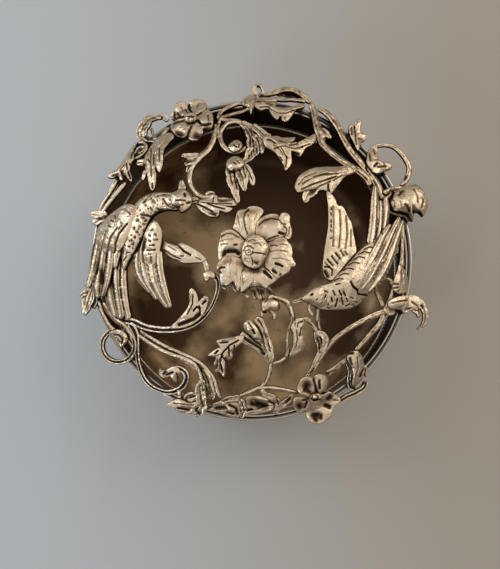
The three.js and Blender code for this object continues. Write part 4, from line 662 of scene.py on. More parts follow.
# The left bird faces the flower, and its wings and tail trail towards the front. Its coverts and
# feathers are castings laid over one another, each cast with its quills and barbs.
casting("left_bird_left_wing",
    plate((-38.4, 8.2), (-37.4, 9.6), (-36, 11.2), (-34, 12.8), (-32, 14.1), (-30.2, 14.4), (-28.6, 13.8),
        (-28, 12.4), (-29, 10.4), (-30, 8), (-31.4, 5), (-33.2, 2.6), (-36, 2), (-38.8, 3.4), thick=.5,
        lift=2, crown=.9),
    feather((-37.6, 8, 1.3), (-38.4, 4.6, 1.4), (-39.2, 1, 1.3), (-39.9, -2.5, 1.1), (-41.2, -6.6, .8)),
    feather((-36, 7, 1.3), (-36.9, 3.5, 1.4), (-37.5, -.2, 1.3), (-38.2, -4, 1), (-38.8, -7, .6)),
    feather((-34.4, 6, 1.3), (-35.2, 2.6, 1.3), (-35.6, -1, 1.1), (-36.4, -5, 1), (-37.4, -8.6, .7)),
    feather((-33, 5, 1.3), (-33.9, 1.6, 1.2), (-34.2, -1.6, .5)),
    feather((-38, -2.5, 1.2), (-38.6, -6, 1.7), (-38.4, -9, 1)),
    cuts=((1.5, .28, (-39.6, 4, -38.4, -3, -37.2, -11)),
        (.2, .35, (-36.8, 7, -37.7, 3.6, -38.4, 0, -39, -3)),
        (.2, .4, (-33.8, 8.6, -35.4, 6.2, -36.1, 3.6, -36.6, 0)),
        (.24, .45, (-31.2, 9.6, -33.2, 7.2, -34.2, 4.6, -34.3, 2.4)),
        (.28, .5, (-33, 2.6, -31.8, 3, -30.8, 3)), (.5, .6, (-37.8, -2.2, -37.6, -3.8, -37.4, -5)),
        (.18, .3, (-36, 9.2, -35.4, 8.8), (-34.4, 11.8, -34, 11), (-30.8, 12.6, -30.5, 12),
            (-32.8, 10, -32.4, 9.6), (-35.4, 10.6, -34.8, 10.2), (-36.8, 7.6, -36.2, 7.8)),
        (.16, .3, (-33.4, 8.2, -32.6, 9.2))))
casting("left_bird_right_wing",
    plate((-25.4, 9.6), (-24, 10.3), (-22.7, 8.4), (-22.4, 6), (-22.9, 3), (-23.2, 0), (-26, -1),
        (-28.6, .6), (-28, 3), (-27.4, 5), (-26.8, 7), thick=.5, lift=1.6, crown=.5),
    feather((-23.4, 3, 1), (-23.3, 0, 1.2), (-22.9, -3, 1.1), (-21.9, -7, 1), (-20.3, -11.4, .5),
        lift=1.6),
    feather((-25, 2, 1.2), (-25.2, -.5, 1.3), (-24.6, -4.5, 1.2), (-23.2, -8, 1), (-21, -11.4, .5),
        lift=1.5),
    feather((-26.7, 2, 1.2), (-27, -1.5, 1.3), (-26.2, -5, 1.1), (-23.6, -9.4, .5), lift=1.4),
    feather((-28.3, 2.6, 1.1), (-28.6, -1, 1.2), (-27.8, -4, 1.1), (-25.4, -7.6, .45), lift=1.3),
    cuts=((.22, .4, (-27, 5, -27.5, 2, -27, -1.5)),
        (.2, .35, (-25.3, 1.2, -25.5, -1.6, -24.9, -4.5), (-25.8, 5.4, -25.4, 5.2),
            (-24.6, 5.6, -23.6, 5.6), (-25.8, 6.8, -25.5, 6.6), (-24.4, 7, -24, 6.8),
            (-25.2, 8, -24.8, 8.2), (-28.4, 2.2, -28.7, 0, -28.3, -2.6)),
        (.18, .3, (-23.9, 2, -24, -1, -23.4, -4)),
        (.2, .4, (-25.6, 4.2, -24.4, 4.3), (-26.2, 3, -24.2, 3.1)), (.2, .3, (-25.8, 2, -25.4, 2)),
        (.5, .4, (-27.2, 3.4, -27, 5.6))))
casting("left_bird_body",
    plumage((-16.6, 14.9, 2), (-18.6, 15, 2.3), (-21, 15, 2.3), (-24, 14.6, 2.7), (-26.4, 13.2, 3),
        (-28, 10.6, 2.9), (-29, 7.4, 2.6), (-30.2, 4, 2), (-31.2, 1, 1.2), (-31.9, -2, .4), thick=1.4),
    plate((-20.4, 16.6), (-18.8, 17.7), (-17.6, 18.4), (-16.4, 17.8), (-15.2, 16.6), (-14.9, 15),
        (-15.6, 13.4), (-17, 12.4), (-18, 12.4), (-18.6, 13.6), (-20, 14.2), thick=.6, lift=1.9,
        crown=.7),
    leaf((-17.4, 17.4, 1.3), (-17.4, 18.8, .9), (-17.5, 20.4, .35), thick=.8, lift=1.5),
    leaf((-16.4, 15.5, .9), (-14.6, 15.6, .5), (-13.3, 15.6, .3), thick=.7, lift=1.5),
    leaf((-15.8, 14.6, .6), (-14.6, 14.9, .4), (-13.6, 15.1, .3), thick=.5, lift=1.2),
    cuts=((.26, .6, (-16.9, 17.2, -16.8, 16.6)), (.18, .4, (-19, 15.4, -17.6, 15.6, -16.6, 15.4)),
        (.24, .5, (-16.3, 14.8, -15.5, 14.9), (-28.7, 10.6, -28.4, 10.4), (-27.4, 11.1, -27, 11),
            (-26.8, 10.3, -26.4, 10.4)), (.18, .35, (-20, 14.1, -18.6, 13.9, -17.2, 14.4)),
        (.22, .45, (-22.2, 15.8, -21.4, 14.4, -19.8, 13.5, -18.2, 13.7)),
        (.2, .35, (-23.6, 16.6, -22, 17, -20.8, 16.8)),
        (.2, .4, (-24.8, 15.6, -24.2, 14.8), (-23.8, 13.4, -22.6, 12.9), (-26.6, 15.8, -26.9, 15),
            (-28.3, 6.9, -28.1, 6.8), (-29.4, 6.2, -29.2, 6), (-30.2, 5.5, -30, 5.3),
            (-31.9, .6, -31.4, 1.4), (-25.4, 13.6, -25, 12.8), (-29.6, 8.6, -29.4, 8.2)),
        (.8, .6, (-22.6, 12.4, -20.4, 12, -18.6, 12.2)),
        (.26, .5, (-27.6, 11.9, -26.2, 11.7, -24.8, 11.1)),
        (.22, .5, (-28.1, 8.9, -27.8, 8.8), (-27.2, 9.6, -27, 9.4), (-28.9, 7.6, -28.6, 7.5),
            (-31.4, 2.4, -30.6, 2.4)), (.2, .45, (-30, 4.5, -29.7, 4.4), (-30.9, 4, -30.5, 3.9))))
casting("left_bird_tail",
    feather((-35.6, 1, 1.3), (-35.8, -3.5, 1.5), (-35.6, -7.5, 1.5), (-34.9, -11, 1.4), (-34, -13.8, .9),
        lift=.7),
    feather((-33.8, 2, 1.3), (-34, -4.5, 1.4), (-33.5, -9.5, 1.4), (-32.6, -14.2, 1.1), lift=.8),
    feather((-32, 1, .9), (-32.2, -4.5, 1.1), (-31.8, -9.5, 1.1), (-30.7, -14.4, .8), lift=.6),
    cuts=((.25, .5, (-34.8, -.6, -35, -2.2), (-34.9, -3, -35, -4.6), (-34.8, -5.4, -34.7, -7),
            (-34.5, -7.8, -34.3, -9.4)), (.2, .4, (-33, -2, -33.1, -6), (-32.4, -10, -32, -12)),
        (.22, .45, (-32.9, -6.8, -32.7, -9)),
        (.22, .4, (-31.4, 1.4, -31.7, -.6), (-34.2, -10, -33.8, -12)),
        (.3, .5, (-36.4, -1, -36.5, -2.4))))

# The right bird faces the flower, with one wing raised and one laid back to the right. Body and
# wings are cast apart, and soldered where the feathers meet the breast.
casting("right_bird_left_wing",
    plate((18.6, 17.6), (18.9, 14), (19, 10), (18.7, 7), (18.2, 4), (17.8, 1), (17.6, -1.6), (18, -3.6),
        (19.6, -4.8), (20.8, -3.8), (22.6, -1.6), (24.6, .8), (26, 2.4), (25.8, 4.4), (25.3, 7),
        (24.8, 9.6), (23.8, 11.4), (23.3, 12.6), (22.5, 13.9), (21.3, 14.2), (20.4, 16.2), thick=.6,
        lift=1.8, crown=.3),
    cuts=((.2, .3, (20.3, 14, 20.5, 9, 20.3, 4), (22, 13, 22.2, 8, 21.8, 3.6),
            (23.6, 11.4, 23.9, 7, 23.4, 3.4), (19.6, 6, 19.9, 6)), (.2, .25, (24.8, 8, 24.8, 4)),
        (.22, .5, (18.9, .6, 20.2, -.8), (20, 1.4, 21.4, -.4), (21, 2.2, 22.1, .8)),
        (.22, .4, (22.3, 2.8, 23, 1.6)), (.2, .5, (18.2, -1.2, 19.5, -1.3)),
        (.2, .4, (18.3, -.2, 20, -1.9), (19.8, 12.2, 19.8, 11.8), (19.8, 10.6, 19.8, 10),
            (19.8, 9.3, 19.8, 8.8), (19.7, 8, 19.8, 7.7), (20.2, -2, 20, -3.4), (19.9, 13.6, 19.8, 13.2)),
        (.2, .35, (23.3, 2.6, 23.8, 1.8)), (.45, .6, (18.3, -2.4, 19, -3.6))))
casting("right_bird_right_wing",
    feather((29.6, 4, 1.3), (30.2, 8, 1.3), (30.5, 12, 1.2), (30.6, 16, 1), (30.7, 19, .6), lift=1.7),
    feather((31, 4.4, 1.2), (31.8, 9, 1.1), (32, 13, .9), (31.9, 15.4, .5), lift=1.6),
    feather((32, 4.4, 1.1), (32.9, 9, 1.1), (33.4, 13, 1), (33.3, 16.4, .6), lift=1.5),
    feather((28.8, -7.6, .8), (31, -5, 1.2), (33.2, -1.4, 1.3), (34.9, 2.8, 1.2), (36.4, 7.2, 1),
        (37.6, 10.4, .4), lift=2.1),
    feather((27, -7, .8), (29.4, -4, 1.3), (31.8, .2, 1.4), (33.8, 4.6, 1.3), (35.6, 8.6, .9),
        (36.8, 11.2, .4), lift=2.4),
    feather((25.3, -5.6, .8), (27.6, -2.8, 1.2), (30, .8, 1.3), (31.8, 4.2, 1.2), (33.3, 7.4, .9),
        (34.5, 9.4, .35), lift=2.7),
    cuts=((.14, .4, (31.2, 6, 31.3, 11, 31.2, 14), (32.5, 7, 32.8, 12, 32.7, 14)),
        (.14, .35, (28.2, -3.6, 30.4, 0, 32.6, 4.6, 34.6, 8.6), (30.4, -3.4, 32.4, 0, 34.4, 4.2, 36, 8.4),
            (31.6, -4.4, 33.6, -.8, 35.4, 3.6)), (.14, .3, (27, -4, 29, -1.2, 31, 2.4, 33.4, 6.8)),
        (.22, .7, (24.8, -5, 25.4, -6.2, 26.4, -7, 26.6, -8, 28.8, -8.3))))
casting("right_bird_body",
    plate((15.4, -6.6), (17.6, -6.4), (19.4, -5.4), (21, -3.6), (23, -1.6), (25, .8), (27, 3), (29, 4.4),
        (31, 5.6), (33.4, 5.4), (36, 4.4), (36.4, 2.4), (35, 1.2), (34.4, -1.4), (33, -3.8), (31.4, -5.4),
        (31, -6.8), (29, -8.2), (27.6, -9.6), (26, -11), (23.6, -11.9), (20, -12.1), (17.6, -12),
        (16, -11.4), (14.4, -10.2), (14, -8.4), thick=.9, lift=1.2, crown=1.2),
    plate((12.4, -9.3), (14, -7.6), (15.6, -6.6), (17.4, -6.3), (18.8, -8), (18.4, -11), (16, -11.2),
        (14.2, -10.3), thick=.7, lift=1.9, crown=.7),
    leaf((14, -9, .9), (11.9, -9.5, .5), (10, -10.1, .3), thick=.7, lift=1.5),
    stem((15, -9.6, .6), (14.2, -11.3, .5), (15.2, -13.6, .4), lift=1.2),
    stem((16.4, -11, .8), (16.3, -12.8, .5), (16.2, -14.9, .4), lift=.6),
    cuts=((.22, .7, (24.8, -5, 25.4, -6.2, 26.4, -7, 26.6, -8, 28.8, -8.3)),
        (.15, .6, (20.3, -7.2, 20.9, -8.3), (21.8, -7.2, 22.4, -8.3), (19.9, -8.9, 20.1, -9.9),
            (22.4, -9, 22.8, -10.6)), (.14, .6, (22.9, -7.4, 23.4, -8.4)),
        (.16, .6, (21.4, -9.2, 20.9, -11.2)), (.14, .5, (23.6, -9, 24, -9.9), (18.5, -8.3, 18.2, -9)),
        (.13, .5, (17.6, -10.2, 17.4, -10.6), (19.1, -10.4, 19, -10.9), (16.4, -9.2, 16.2, -9.5),
            (23.4, -11, 24.4, -10.6), (21, -5.6, 22, -5.4), (18.2, -7.2, 19, -7.6),
            (18.8, -11.4, 19.4, -11.6)), (.2, .6, (15.2, -8, 14.8, -8.2)),
        (.12, .4, (20.6, -4.6, 21.8, -4, 22.8, -4.2), (21.8, -3.4, 23, -2.8, 24.2, -3),
            (22.8, -2, 24, -1.4, 25.4, -1.8), (24, -.8, 25.4, 0, 26.8, -.3),
            (25.4, .6, 26.8, 1.4, 28.2, 1), (26.6, 2, 28, 2.6, 29.4, 2.3),
            (28, 3.2, 29.4, 3.8, 30.8, 3.4), (24.6, -8.8, 25.4, -9.2), (25.8, -9.8, 26.4, -10.2),
            (25, -10.6, 25.5, -11), (27.4, -9.2, 27.9, -9.3))))

# The flowers on the rim: two open ones with a round boss, and a trumpet seen from its side. The
# petals of each are one engraved casting, and the boss is a bead soldered over their middle.
casting("top_flower_boss",
    bud(*swell(-15.2, 35.7, 1.45), lift=2),
    cuts=((.22, .5, (-15.2, 36.5, -14.5, 35.9, -14.7, 35.1, -15.5, 35, -16, 35.7, -15.6, 36.4)),))
casting("top_flower",
    plate((-16.4, 36.6), (-17.6, 37), (-19, 37.2), (-19.2, 38.4), (-18.6, 39.7), (-17, 39.9),
        (-15.9, 39.2), (-15.4, 40), (-14.2, 40.5), (-12.6, 40.4), (-11.3, 39.4), (-11.4, 38.1),
        (-12.2, 37.4), (-11, 37.9), (-9.9, 36.9), (-9.6, 35.2), (-9.8, 33.8), (-10.6, 32.9), (-12, 33.2),
        (-12.2, 32), (-12.9, 30.8), (-14, 30.2), (-15.6, 30.3), (-16.1, 31.2), (-17.2, 30.9),
        (-18.8, 31.4), (-20, 32.6), (-20.3, 33.8), (-19.4, 34.9), (-20.2, 36), (-19.8, 37.5),
        (-18.4, 36.8), thick=.6, lift=.7, crown=.5),
    cuts=((.3, .7, (-15, 37.2, -15.6, 38.2, -15.8, 39.4),
            (-13.6, 35.4, -12.6, 34.4, -11.6, 34.4, -10.4, 34.7),
            (-17.2, 36.4, -18.4, 36.2, -19.6, 35.6)),
        (.28, .6, (-13.6, 36.8, -12.8, 37.3), (-15.2, 34, -15.9, 32.4, -16.2, 31),
            (-17.2, 35.4, -18.6, 35.1, -19.6, 34.7)), (.7, .7, (-11.2, 33.4, -10.6, 33.3)),
        (.85, .7, (-13.9, 31.6, -13.1, 31.3)), (.8, .7, (-18.6, 32.3, -17.9, 32)),
        (.25, .6, (-19.4, 37.4, -19.4, 36.2)), (.25, .5, (-18.6, 37.2, -18, 36.4)),
        (.22, .5, (-16.7, 38.2, -16, 37.4)),
        (.2, -.4, (-16.8, 31.2, -18.6, 31.1, -20, 32.4), (-12.3, 31.2, -13.2, 30.2, -15.4, 30.1)),
        (.2, .3, (-17.6, 38.8, -17.2, 37.8), (-13.4, 39.6, -13.8, 38.2), (-11, 36.8, -10.8, 35.4))))
casting("lower_flower_boss",
    bud(*swell(15.8, -34, 1.5), lift=2),
    cuts=((.22, .5, (15.8, -33.1, 16.6, -33.7, 16.4, -34.6, 15.5, -34.8, 14.9, -34.2, 15.2, -33.4)),))
casting("lower_flower",
    plate((14.4, -33.6), (12.8, -33.4), (11.4, -32.4), (11.3, -30.8), (12.2, -29.2), (13.8, -28.5),
        (15.2, -29), (15.7, -28.2), (17, -28), (18.4, -28.5), (18.9, -29.8), (18.6, -31.4), (17.9, -32.5),
        (18.8, -32.3), (20, -32.6), (21.2, -33.3), (22.2, -34.2), (21.8, -35.2), (20.8, -36), (20.2, -37),
        (19.9, -38.2), (18.8, -39.4), (17.4, -40.3), (15.8, -40.5), (14.4, -39.8), (13.4, -38.2),
        (13.1, -36.8), (12.6, -37.9), (11.4, -37.6), (10.5, -36.4), (10.2, -35), (10.6, -33.8),
        (12.6, -33.9), thick=.6, lift=.7, crown=.5),
    cuts=((1.1, .7, (13.8, -31.2, 13.9, -30.9)),
        (.5, .6, (14.4, -32.6, 13.4, -32.2), (15.8, -39.5, 16, -39.6)),
        (.28, .6, (15.5, -29.4, 16, -31.4, 16.2, -32.8), (17.6, -32.9, 18.6, -32.4)),
        (.3, .6, (16.9, -29.8, 17, -31.6)), (.7, .7, (19.2, -34.2, 19.6, -33.8)),
        (.5, .7, (18.4, -35.9, 19.4, -36.3)), (.8, .7, (15.4, -38.5, 16.4, -38.4)),
        (.75, .7, (11.8, -36, 12, -36.3)), (.25, .6, (13.2, -36.4, 13.8, -35)),
        (.28, .5, (12.8, -34.6, 14, -34.3)),
        (.2, -.4, (11.4, -32.2, 12.6, -33.4), (10.4, -35.6, 11.2, -37.4), (13.6, -38.6, 14.8, -40)),
        (.3, .5, (17.4, -38.4, 17.2, -39.2)), (.2, .3, (20.4, -34.6, 21.4, -34.6))))
casting("trumpet_flower",
    plate((34.3, 14.4), (34.6, 16), (35.6, 17.4), (37, 18.4), (38.6, 19), (40.6, 19.3), (42.2, 18.4),
        (43.2, 16.6), (43.9, 14.4), (43.6, 12.8), (42.8, 11.4), (42, 12.2), (41, 12.4), (40.3, 11.8),
        (40.2, 10.2), (39.4, 10.6), (38.8, 11.8), (37, 12.5), (35.4, 12.6), thick=.9, lift=.4, crown=1.7),
    stem((32.6, 14.6, .5), (33.6, 15.8, .5), (34.8, 17, .5), lift=.6),
    stem((32.8, 17.1, .6), (34.6, 18.1, .6), (36.4, 18.4, .6), (38.2, 18, .7), lift=.8),
    stem((35.8, 13.6, .4), (34.6, 12.4, .35), (36, 11.8, .35), (38, 11.4, .35), (39.2, 10, .35), thick=.5,
        lift=-.5),
    cuts=((.3, .5, (38.4, 14.4, 39, 13.8, 39.4, 12.8), (37.6, 17.8, 36.8, 16.8)),
        (.5, .7, (40.6, 12.6, 42, 12.4)),
        (.2, .4, (34.9, 16.4, 35.8, 15, 35.6, 13.4), (35.4, 17, 34.6, 15.4)),
        (.2, .3, (40.4, 18.4, 41.4, 16.8, 41.6, 15)), (.16, .3, (37, 15.4, 37.6, 13.4)),
        (.2, -.4, (35.4, 12.8, 37.4, 12.8, 39, 11.8)), (.25, .3, (43, 15.6, 42.6, 13.6))))

# Leaves and buds of the back left quarter, with the double-edged stem that runs along the rim.
# They are silver castings, soldered to the lid's edge wire and where they touch one another.
casting("curled_leaf_loop",
    leaf((-27.2, 30.4, 1), (-27.5, 32, 1.6), (-26.9, 33.6, 1.8), (-25.8, 35.2, 1.5), (-24.2, 36, 1),
        (-22.4, 36.1, .8), (-20.8, 35.3, .6)),
    leaf((-27.6, 31.4, .6), (-26, 30.6, .8), (-24.3, 30.2, .7), (-23, 30.6, .5)),
    stem((-25.1, 33.4, .35), (-24.7, 31.8, .4), (-23.9, 30.6, .45), (-23, 30.8, .45), (-21.6, 32.4, .5),
        (-20.4, 33.4, .4)),
    cuts=((.22, .5, (-26.6, 31.4, -25.9, 30.4), (-22.5, 36.4, -22.6, 35.6)),
        (.25, .6, (-25.6, 32.6, -26, 31.6, -25, 31)), (.2, .3, (-27.2, 33.4, -26, 33.8)),
        (.18, .3, (-24.8, 35.9, -22.6, 35.9)), (.3, -.4, (-21.4, 35.5, -20.6, 35))))
casting("long_leaves",
    plate((-20, 32), (-21.4, 32), (-22.7, 31), (-23.6, 29.4), (-24.2, 27.4), (-24.2, 25), (-23.9, 23.2),
        (-23.1, 22.2), (-22.4, 23.4), (-22.1, 25), (-22, 27), (-21.5, 28.6), (-20.6, 29.8), (-19.4, 31),
        thick=.6, lift=1.1, crown=.3),
    plate((-23, 31.4), (-24.6, 29.6), (-25.9, 27.6), (-26.8, 26), (-26.8, 24), (-26.2, 22), (-25.8, 19.8),
        (-25.3, 18), (-24.8, 17.6), (-24.2, 18.4), (-23.9, 20.4), (-23.8, 22.4), (-24, 24.6), (-24, 27),
        (-23.4, 29), (-22.4, 30.6), thick=.6, lift=.7, crown=.3),
    leaf((-26.4, 24.6, 1), (-27.7, 24.7, .9), (-28.9, 24.7, .5), thick=.5),
    leaf((-26.2, 23, .6), (-26.8, 21.8, .6), (-27.2, 20.4, .35), thick=.5),
    cuts=((.2, .35, (-25.2, 28.4, -25.4, 25, -25.2, 21.6)),
        (.18, .35, (-24.6, 27, -24.7, 24.4), (-23.2, 28.6, -23.2, 25.4)),
        (.2, .5, (-24, 23.4, -23.6, 22.2), (-26, 25.8, -25.6, 25.2)), (.25, .5, (-25, 19.6, -24.9, 18.6)),
        (.3, .5, (-28.2, 24.2, -26.8, 24.3)), (.18, -.3, (-22.3, 24.4, -22.2, 27))))
casting("sepal_bud",
    plate((-28.4, 29.8), (-29.6, 29), (-30.8, 27.4), (-32, 25.4), (-33.2, 23.6), (-34.8, 22.3),
        (-36, 21.1), (-34.6, 20.9), (-33.4, 21.4), (-32.9, 20.3), (-32.2, 20.4), (-31.7, 21.6),
        (-31, 20.8), (-30, 19.8), (-29.9, 21), (-30.4, 22.8), (-30, 24.6), (-29.4, 25.6), (-29.5, 27.4),
        (-29.2, 28.6), thick=.6, lift=.7, crown=.4),
    stem((-29.2, 29, .4), (-27.8, 29.7, .45), (-26.4, 29.2, .45), (-26.4, 27.8, .4), (-27.8, 26.4, .4),
        (-29.4, 25.6, .4)),
    leaf((-26.4, 28.6, .7), (-27.6, 27.8, .9), (-28.6, 26.8, .6), thick=.5, lift=-.1),
    cuts=((.35, .7, (-32.6, 22.6, -32.2, 21.2)), (.25, .6, (-31, 22.6, -30.4, 21)),
        (.2, .4, (-31.4, 24.8, -31.2, 23.2), (-30, 27.6, -30.2, 26)), (.25, .5, (-34.8, 21.6, -33.6, 22)),
        (.2, .5, (-30.6, 24.6, -30.2, 24)), (.2, -.4, (-30.6, 22.4, -29.9, 20.6)),
        (.18, .3, (-32, 24.4, -33, 23)), (.3, .5, (-28.6, 28.4, -27.8, 28.4))))
casting("left_rim_stem",
    stem((-33.6, 20.6, .5), (-34.6, 18.6, .5), (-36, 16.4, .5), (-37.4, 14.2, .5), (-38.2, 12.4, .6)),
    stem((-31.4, 20, .7), (-33.2, 17.8, .65), (-35.2, 15.4, .65), (-36.8, 13.4, .7), (-37.8, 11.6, .8)),
    leaf((-36.2, 11.8, .9), (-38, 11.6, 1.2), (-40.3, 12, .35), lift=0),
    leaf((-36.8, 10.8, .8), (-38.4, 10.1, 1), (-40, 9.7, .35), lift=0),
    cuts=((.25, .5, (-38.2, 11, -36.6, 11.4)), (.16, -.3, (-32.4, 19.4, -35, 16.2)),
        (.2, .4, (-39, 10.9, -37.6, 10.8))))
casting("left_rim_leaf",
    leaf((-39.6, -6.6, 1), (-40.4, -8.6, 1.7), (-41, -10.8, 1.5), (-41.9, -13.4, .4)),
    leaf((-40.8, -7.6, .8), (-42, -8, .7), (-42.9, -8.8, .35)),
    leaf((-39, -8.6, 1), (-39.2, -10.2, .9), (-39.6, -11.8, .4)))

# The curved stem runs from the top flower down to the left bird's beak, with leaves on both ends.
# It is cast as a round wire, and the leaves are castings soldered to its ends.
casting("beak_leaves",
    plate((-14.8, 15), (-13.8, 13.6), (-12.8, 12.6), (-11.2, 11.5), (-9.6, 11.1), (-8.3, 11.5),
        (-7.9, 12.6), (-6.6, 12.2), (-5.4, 12.5), (-4.9, 13.3), (-6.2, 13.8), (-4.2, 13.9), (-3.2, 14.6),
        (-3.4, 15.6), (-6, 15), (-8.4, 15.1), (-8.7, 16.4), (-9.8, 16.9), (-10.6, 16.2), (-12.2, 15.6),
        thick=.5, lift=.4, crown=.4),
    cuts=((.15, .6, (-13.6, 14.5, -11.8, 13.7, -9.8, 12.6)), (.14, .6, (-11, 14.6, -9, 13.8, -6.8, 13.3)),
        (.3, .6, (-10.6, 12.4, -9.2, 11.9)), (.13, .4, (-12.6, 15, -9, 14.6, -5, 14.6)),
        (.13, .5, (-9.6, 16.2, -9.8, 15.2)),
        (.2, -.4, (-12.2, 13.2, -10.6, 12.4), (-9.2, 12.6, -8.2, 12.1))))
casting("curved_stem",
    stem((-9.2, 34.4, .6), (-9.3, 32.2, .65), (-9.7, 30.2, .7), (-11, 27.9, .8), (-13, 26.1, .85),
        (-14.7, 24.1, .75), (-15.5, 21.8, .6), (-15.4, 19.6, .6), (-14.3, 17.5, .6), (-12.6, 16.3, .65),
        (-10.4, 15.9, .8), (-8, 15.6, .6), (-5.6, 15.5, .55), (-3.6, 15.4, .6)),
    leaf((-11.6, 16.2, .8), (-10.4, 16.8, .8), (-9.2, 17, .4), lift=0),
    leaf((-13, 26.4, .7), (-15, 26.3, .9), (-17.7, 26.5, .4), lift=0),
    leaf((-14, 25.6, .9), (-15.4, 24.8, 1.1), (-16.9, 24.2, .4), lift=0),
    leaf((-15, 24.4, .6), (-15.7, 23.4, .7), (-16.2, 22.2, .35), lift=0),
    cuts=((.25, .5, (-16.6, 25.3, -15.2, 25.4)), (.2, .5, (-16.2, 24.2, -15.4, 24.2)),
        (.16, -.3, (-14.9, 22.6, -15, 20.4))))
casting("three_finger_bud",
    leaf((-4.8, 24.6, 1.1), (-5.3, 22, 1.3), (-4.8, 19.4, 1.2), (-4, 17, .9), (-3.4, 14.6, .4), lift=1.2),
    leaf((-2.8, 24.6, .8), (-1.3, 23, 1), (-.2, 21, .95), (.3, 19, .35), lift=1.1),
    leaf((-3.6, 24.8, 1.1), (-2.9, 22.4, 1.5), (-2.2, 20.2, 1.3), (-1.8, 17.6, .4), lift=1.5),
    plate((-6.4, 23.4), (-6.3, 25), (-5.2, 26), (-3.6, 26.2), (-2, 25.2), (-2, 23.8), (-3.6, 22.7),
        (-5.4, 22.6), thick=.6, lift=1.7, crown=.7),
    cuts=((.2, .6, (-4.4, 23, -4.2, 20.6, -3.7, 18.4)), (.16, .6, (-2.2, 23.8, -1.6, 21.6)),
        (.14, .4, (-3.4, 23.2, -2.8, 20.6)), (.13, .5, (-4.6, 25, -4, 24.6), (-3.6, 25.4, -3.1, 24.8)),
        (.13, .4, (-5.6, 22.6, -5, 19.8))))
casting("ring_scroll",
    stem((-2.3, 34.6, .6), (-4.2, 35, .6), (-6.2, 34.4, .6), (-7.6, 32.8, .6), (-7.9, 31, .6),
        (-7.2, 29, .65), (-5.8, 27.8, .65), (-4, 27.4, .6), (-2.4, 27.8, .5), (-1.4, 28.8, .5)),
    stem((-8.2, 35.8, .5), (-6.6, 35.3, .5), (-4.6, 35.3, .55), (-2.6, 34.8, .6)),
    stem((-7.9, 35.7, .5), (-8.5, 33.4, .5), (-8.2, 30.8, .6)),
    leaf((-3, 34.7, .7), (-1.4, 33.8, 1.2), (-.2, 32.2, 1.5), (.2, 30.2, 1.6), (.4, 28.2, 1.7),
        (-.5, 26.4, 1.4), (-1.6, 25.2, .8), (-2.2, 24.2, .4)),
    leaf((.2, 31.6, .6), (1.7, 30, .9), (2.6, 28.6, .7), (2.4, 27, .35), lift=.5),
    plate((-6, 28.8), (-5, 29.9), (-3.8, 30.4), (-2.7, 29.9), (-2.3, 28.8), (-3.2, 27.6), (-4.6, 27.2),
        (-5.6, 27.8), thick=.5, lift=.3, crown=.6),
    cuts=((.15, .6, (1.2, 31.2, 1.8, 29.6, 2, 28)),
        (.14, .5, (1, 28.6, 1.3, 27.2), (.4, 28, .6, 26.8), (-.2, 27.6, 0, 26.4), (-.8, 27, -.8, 26),
            (-1.6, 33.4, -.4, 31.6, -.6, 29)),
        (.13, .5, (-4.6, 29.4, -3.8, 28.8), (-3.2, 29.6, -3.3, 28.6))))
casting("back_loop",
    stem((-8.6, 35.6, .5), (-7.6, 37.4, .5), (-5.4, 38.7, .5), (-3.2, 39.5, .5), (-1.2, 39.2, .6)),
    stem((-7.9, 35.8, .45), (-5.4, 36.6, .45), (-2.8, 37.3, .45), (-.6, 38.1, .5)),
    plate((-2.3, 38.9), (-2.4, 40.2), (-1.4, 41.2), (0, 41.5), (1, 41.2), (1.1, 40), (.6, 38.6), (.2, 37),
        (-.4, 36.7), (-.9, 38.2), thick=.7, lift=.3, crown=.6),
    cuts=((.22, .5, (.3, 38.2, .2, 37.4)), (.25, .5, (1.1, 40.8, 1, 40.1)),
        (.18, .3, (-1.6, 40.6, -1.8, 39.4)), (.2, -.4, (-1, 38.4, -.2, 36.8))))

# Scrolls and leaves of the back right quarter, on two stems that run side by side along the rim.
# They are silver castings, and the stems are soldered down to the lid's edge wire.
casting("back_leaf",
    plate((0, 39.8), (1.2, 40.8), (2.6, 41), (4.4, 40.9), (6, 40.7), (6.2, 39.8), (5.8, 38.4), (5, 37.6),
        (3.6, 38), (2.2, 37.5), (1, 38.2), thick=.6, lift=.3, crown=.4),
    plate((4.4, 38.8), (6.2, 38.5), (7.6, 38.3), (9.4, 38.5), (11, 38.9), (12.8, 39.4), (13, 38.5),
        (11, 37.8), (10.2, 36.6), (9.2, 35.3), (8.3, 34.8), (7.5, 35.1), (7, 36), (6.2, 35.3),
        (5.2, 36.2), (4.3, 37.6), thick=.6, lift=.7, crown=.4),
    leaf((5, 40.5, .5), (8, 40.4, .45), (10.4, 40.4, .45), (13.4, 40, .6), lift=.3),
    cuts=((.2, .5, (1.2, 40.2, 2.2, 40.2)), (.18, .4, (2.8, 40.3, 4.4, 40.1, 5.8, 40.3)),
        (.2, .4, (2, 38.8, 4, 38.9, 4.8, 38.2), (3.6, 39.7, 5, 39.5)), (.3, .6, (.8, 38.3, 2.6, 37.7)),
        (.15, .3, (5.4, 38, 6.8, 37.3, 8.6, 37.3, 10.6, 38.1)), (.25, .6, (7, 36.4, 7, 35.4)),
        (.2, -.4, (5.2, 36.4, 6.2, 35.5)), (.2, .3, (8.2, 36.4, 8.5, 35.4))))
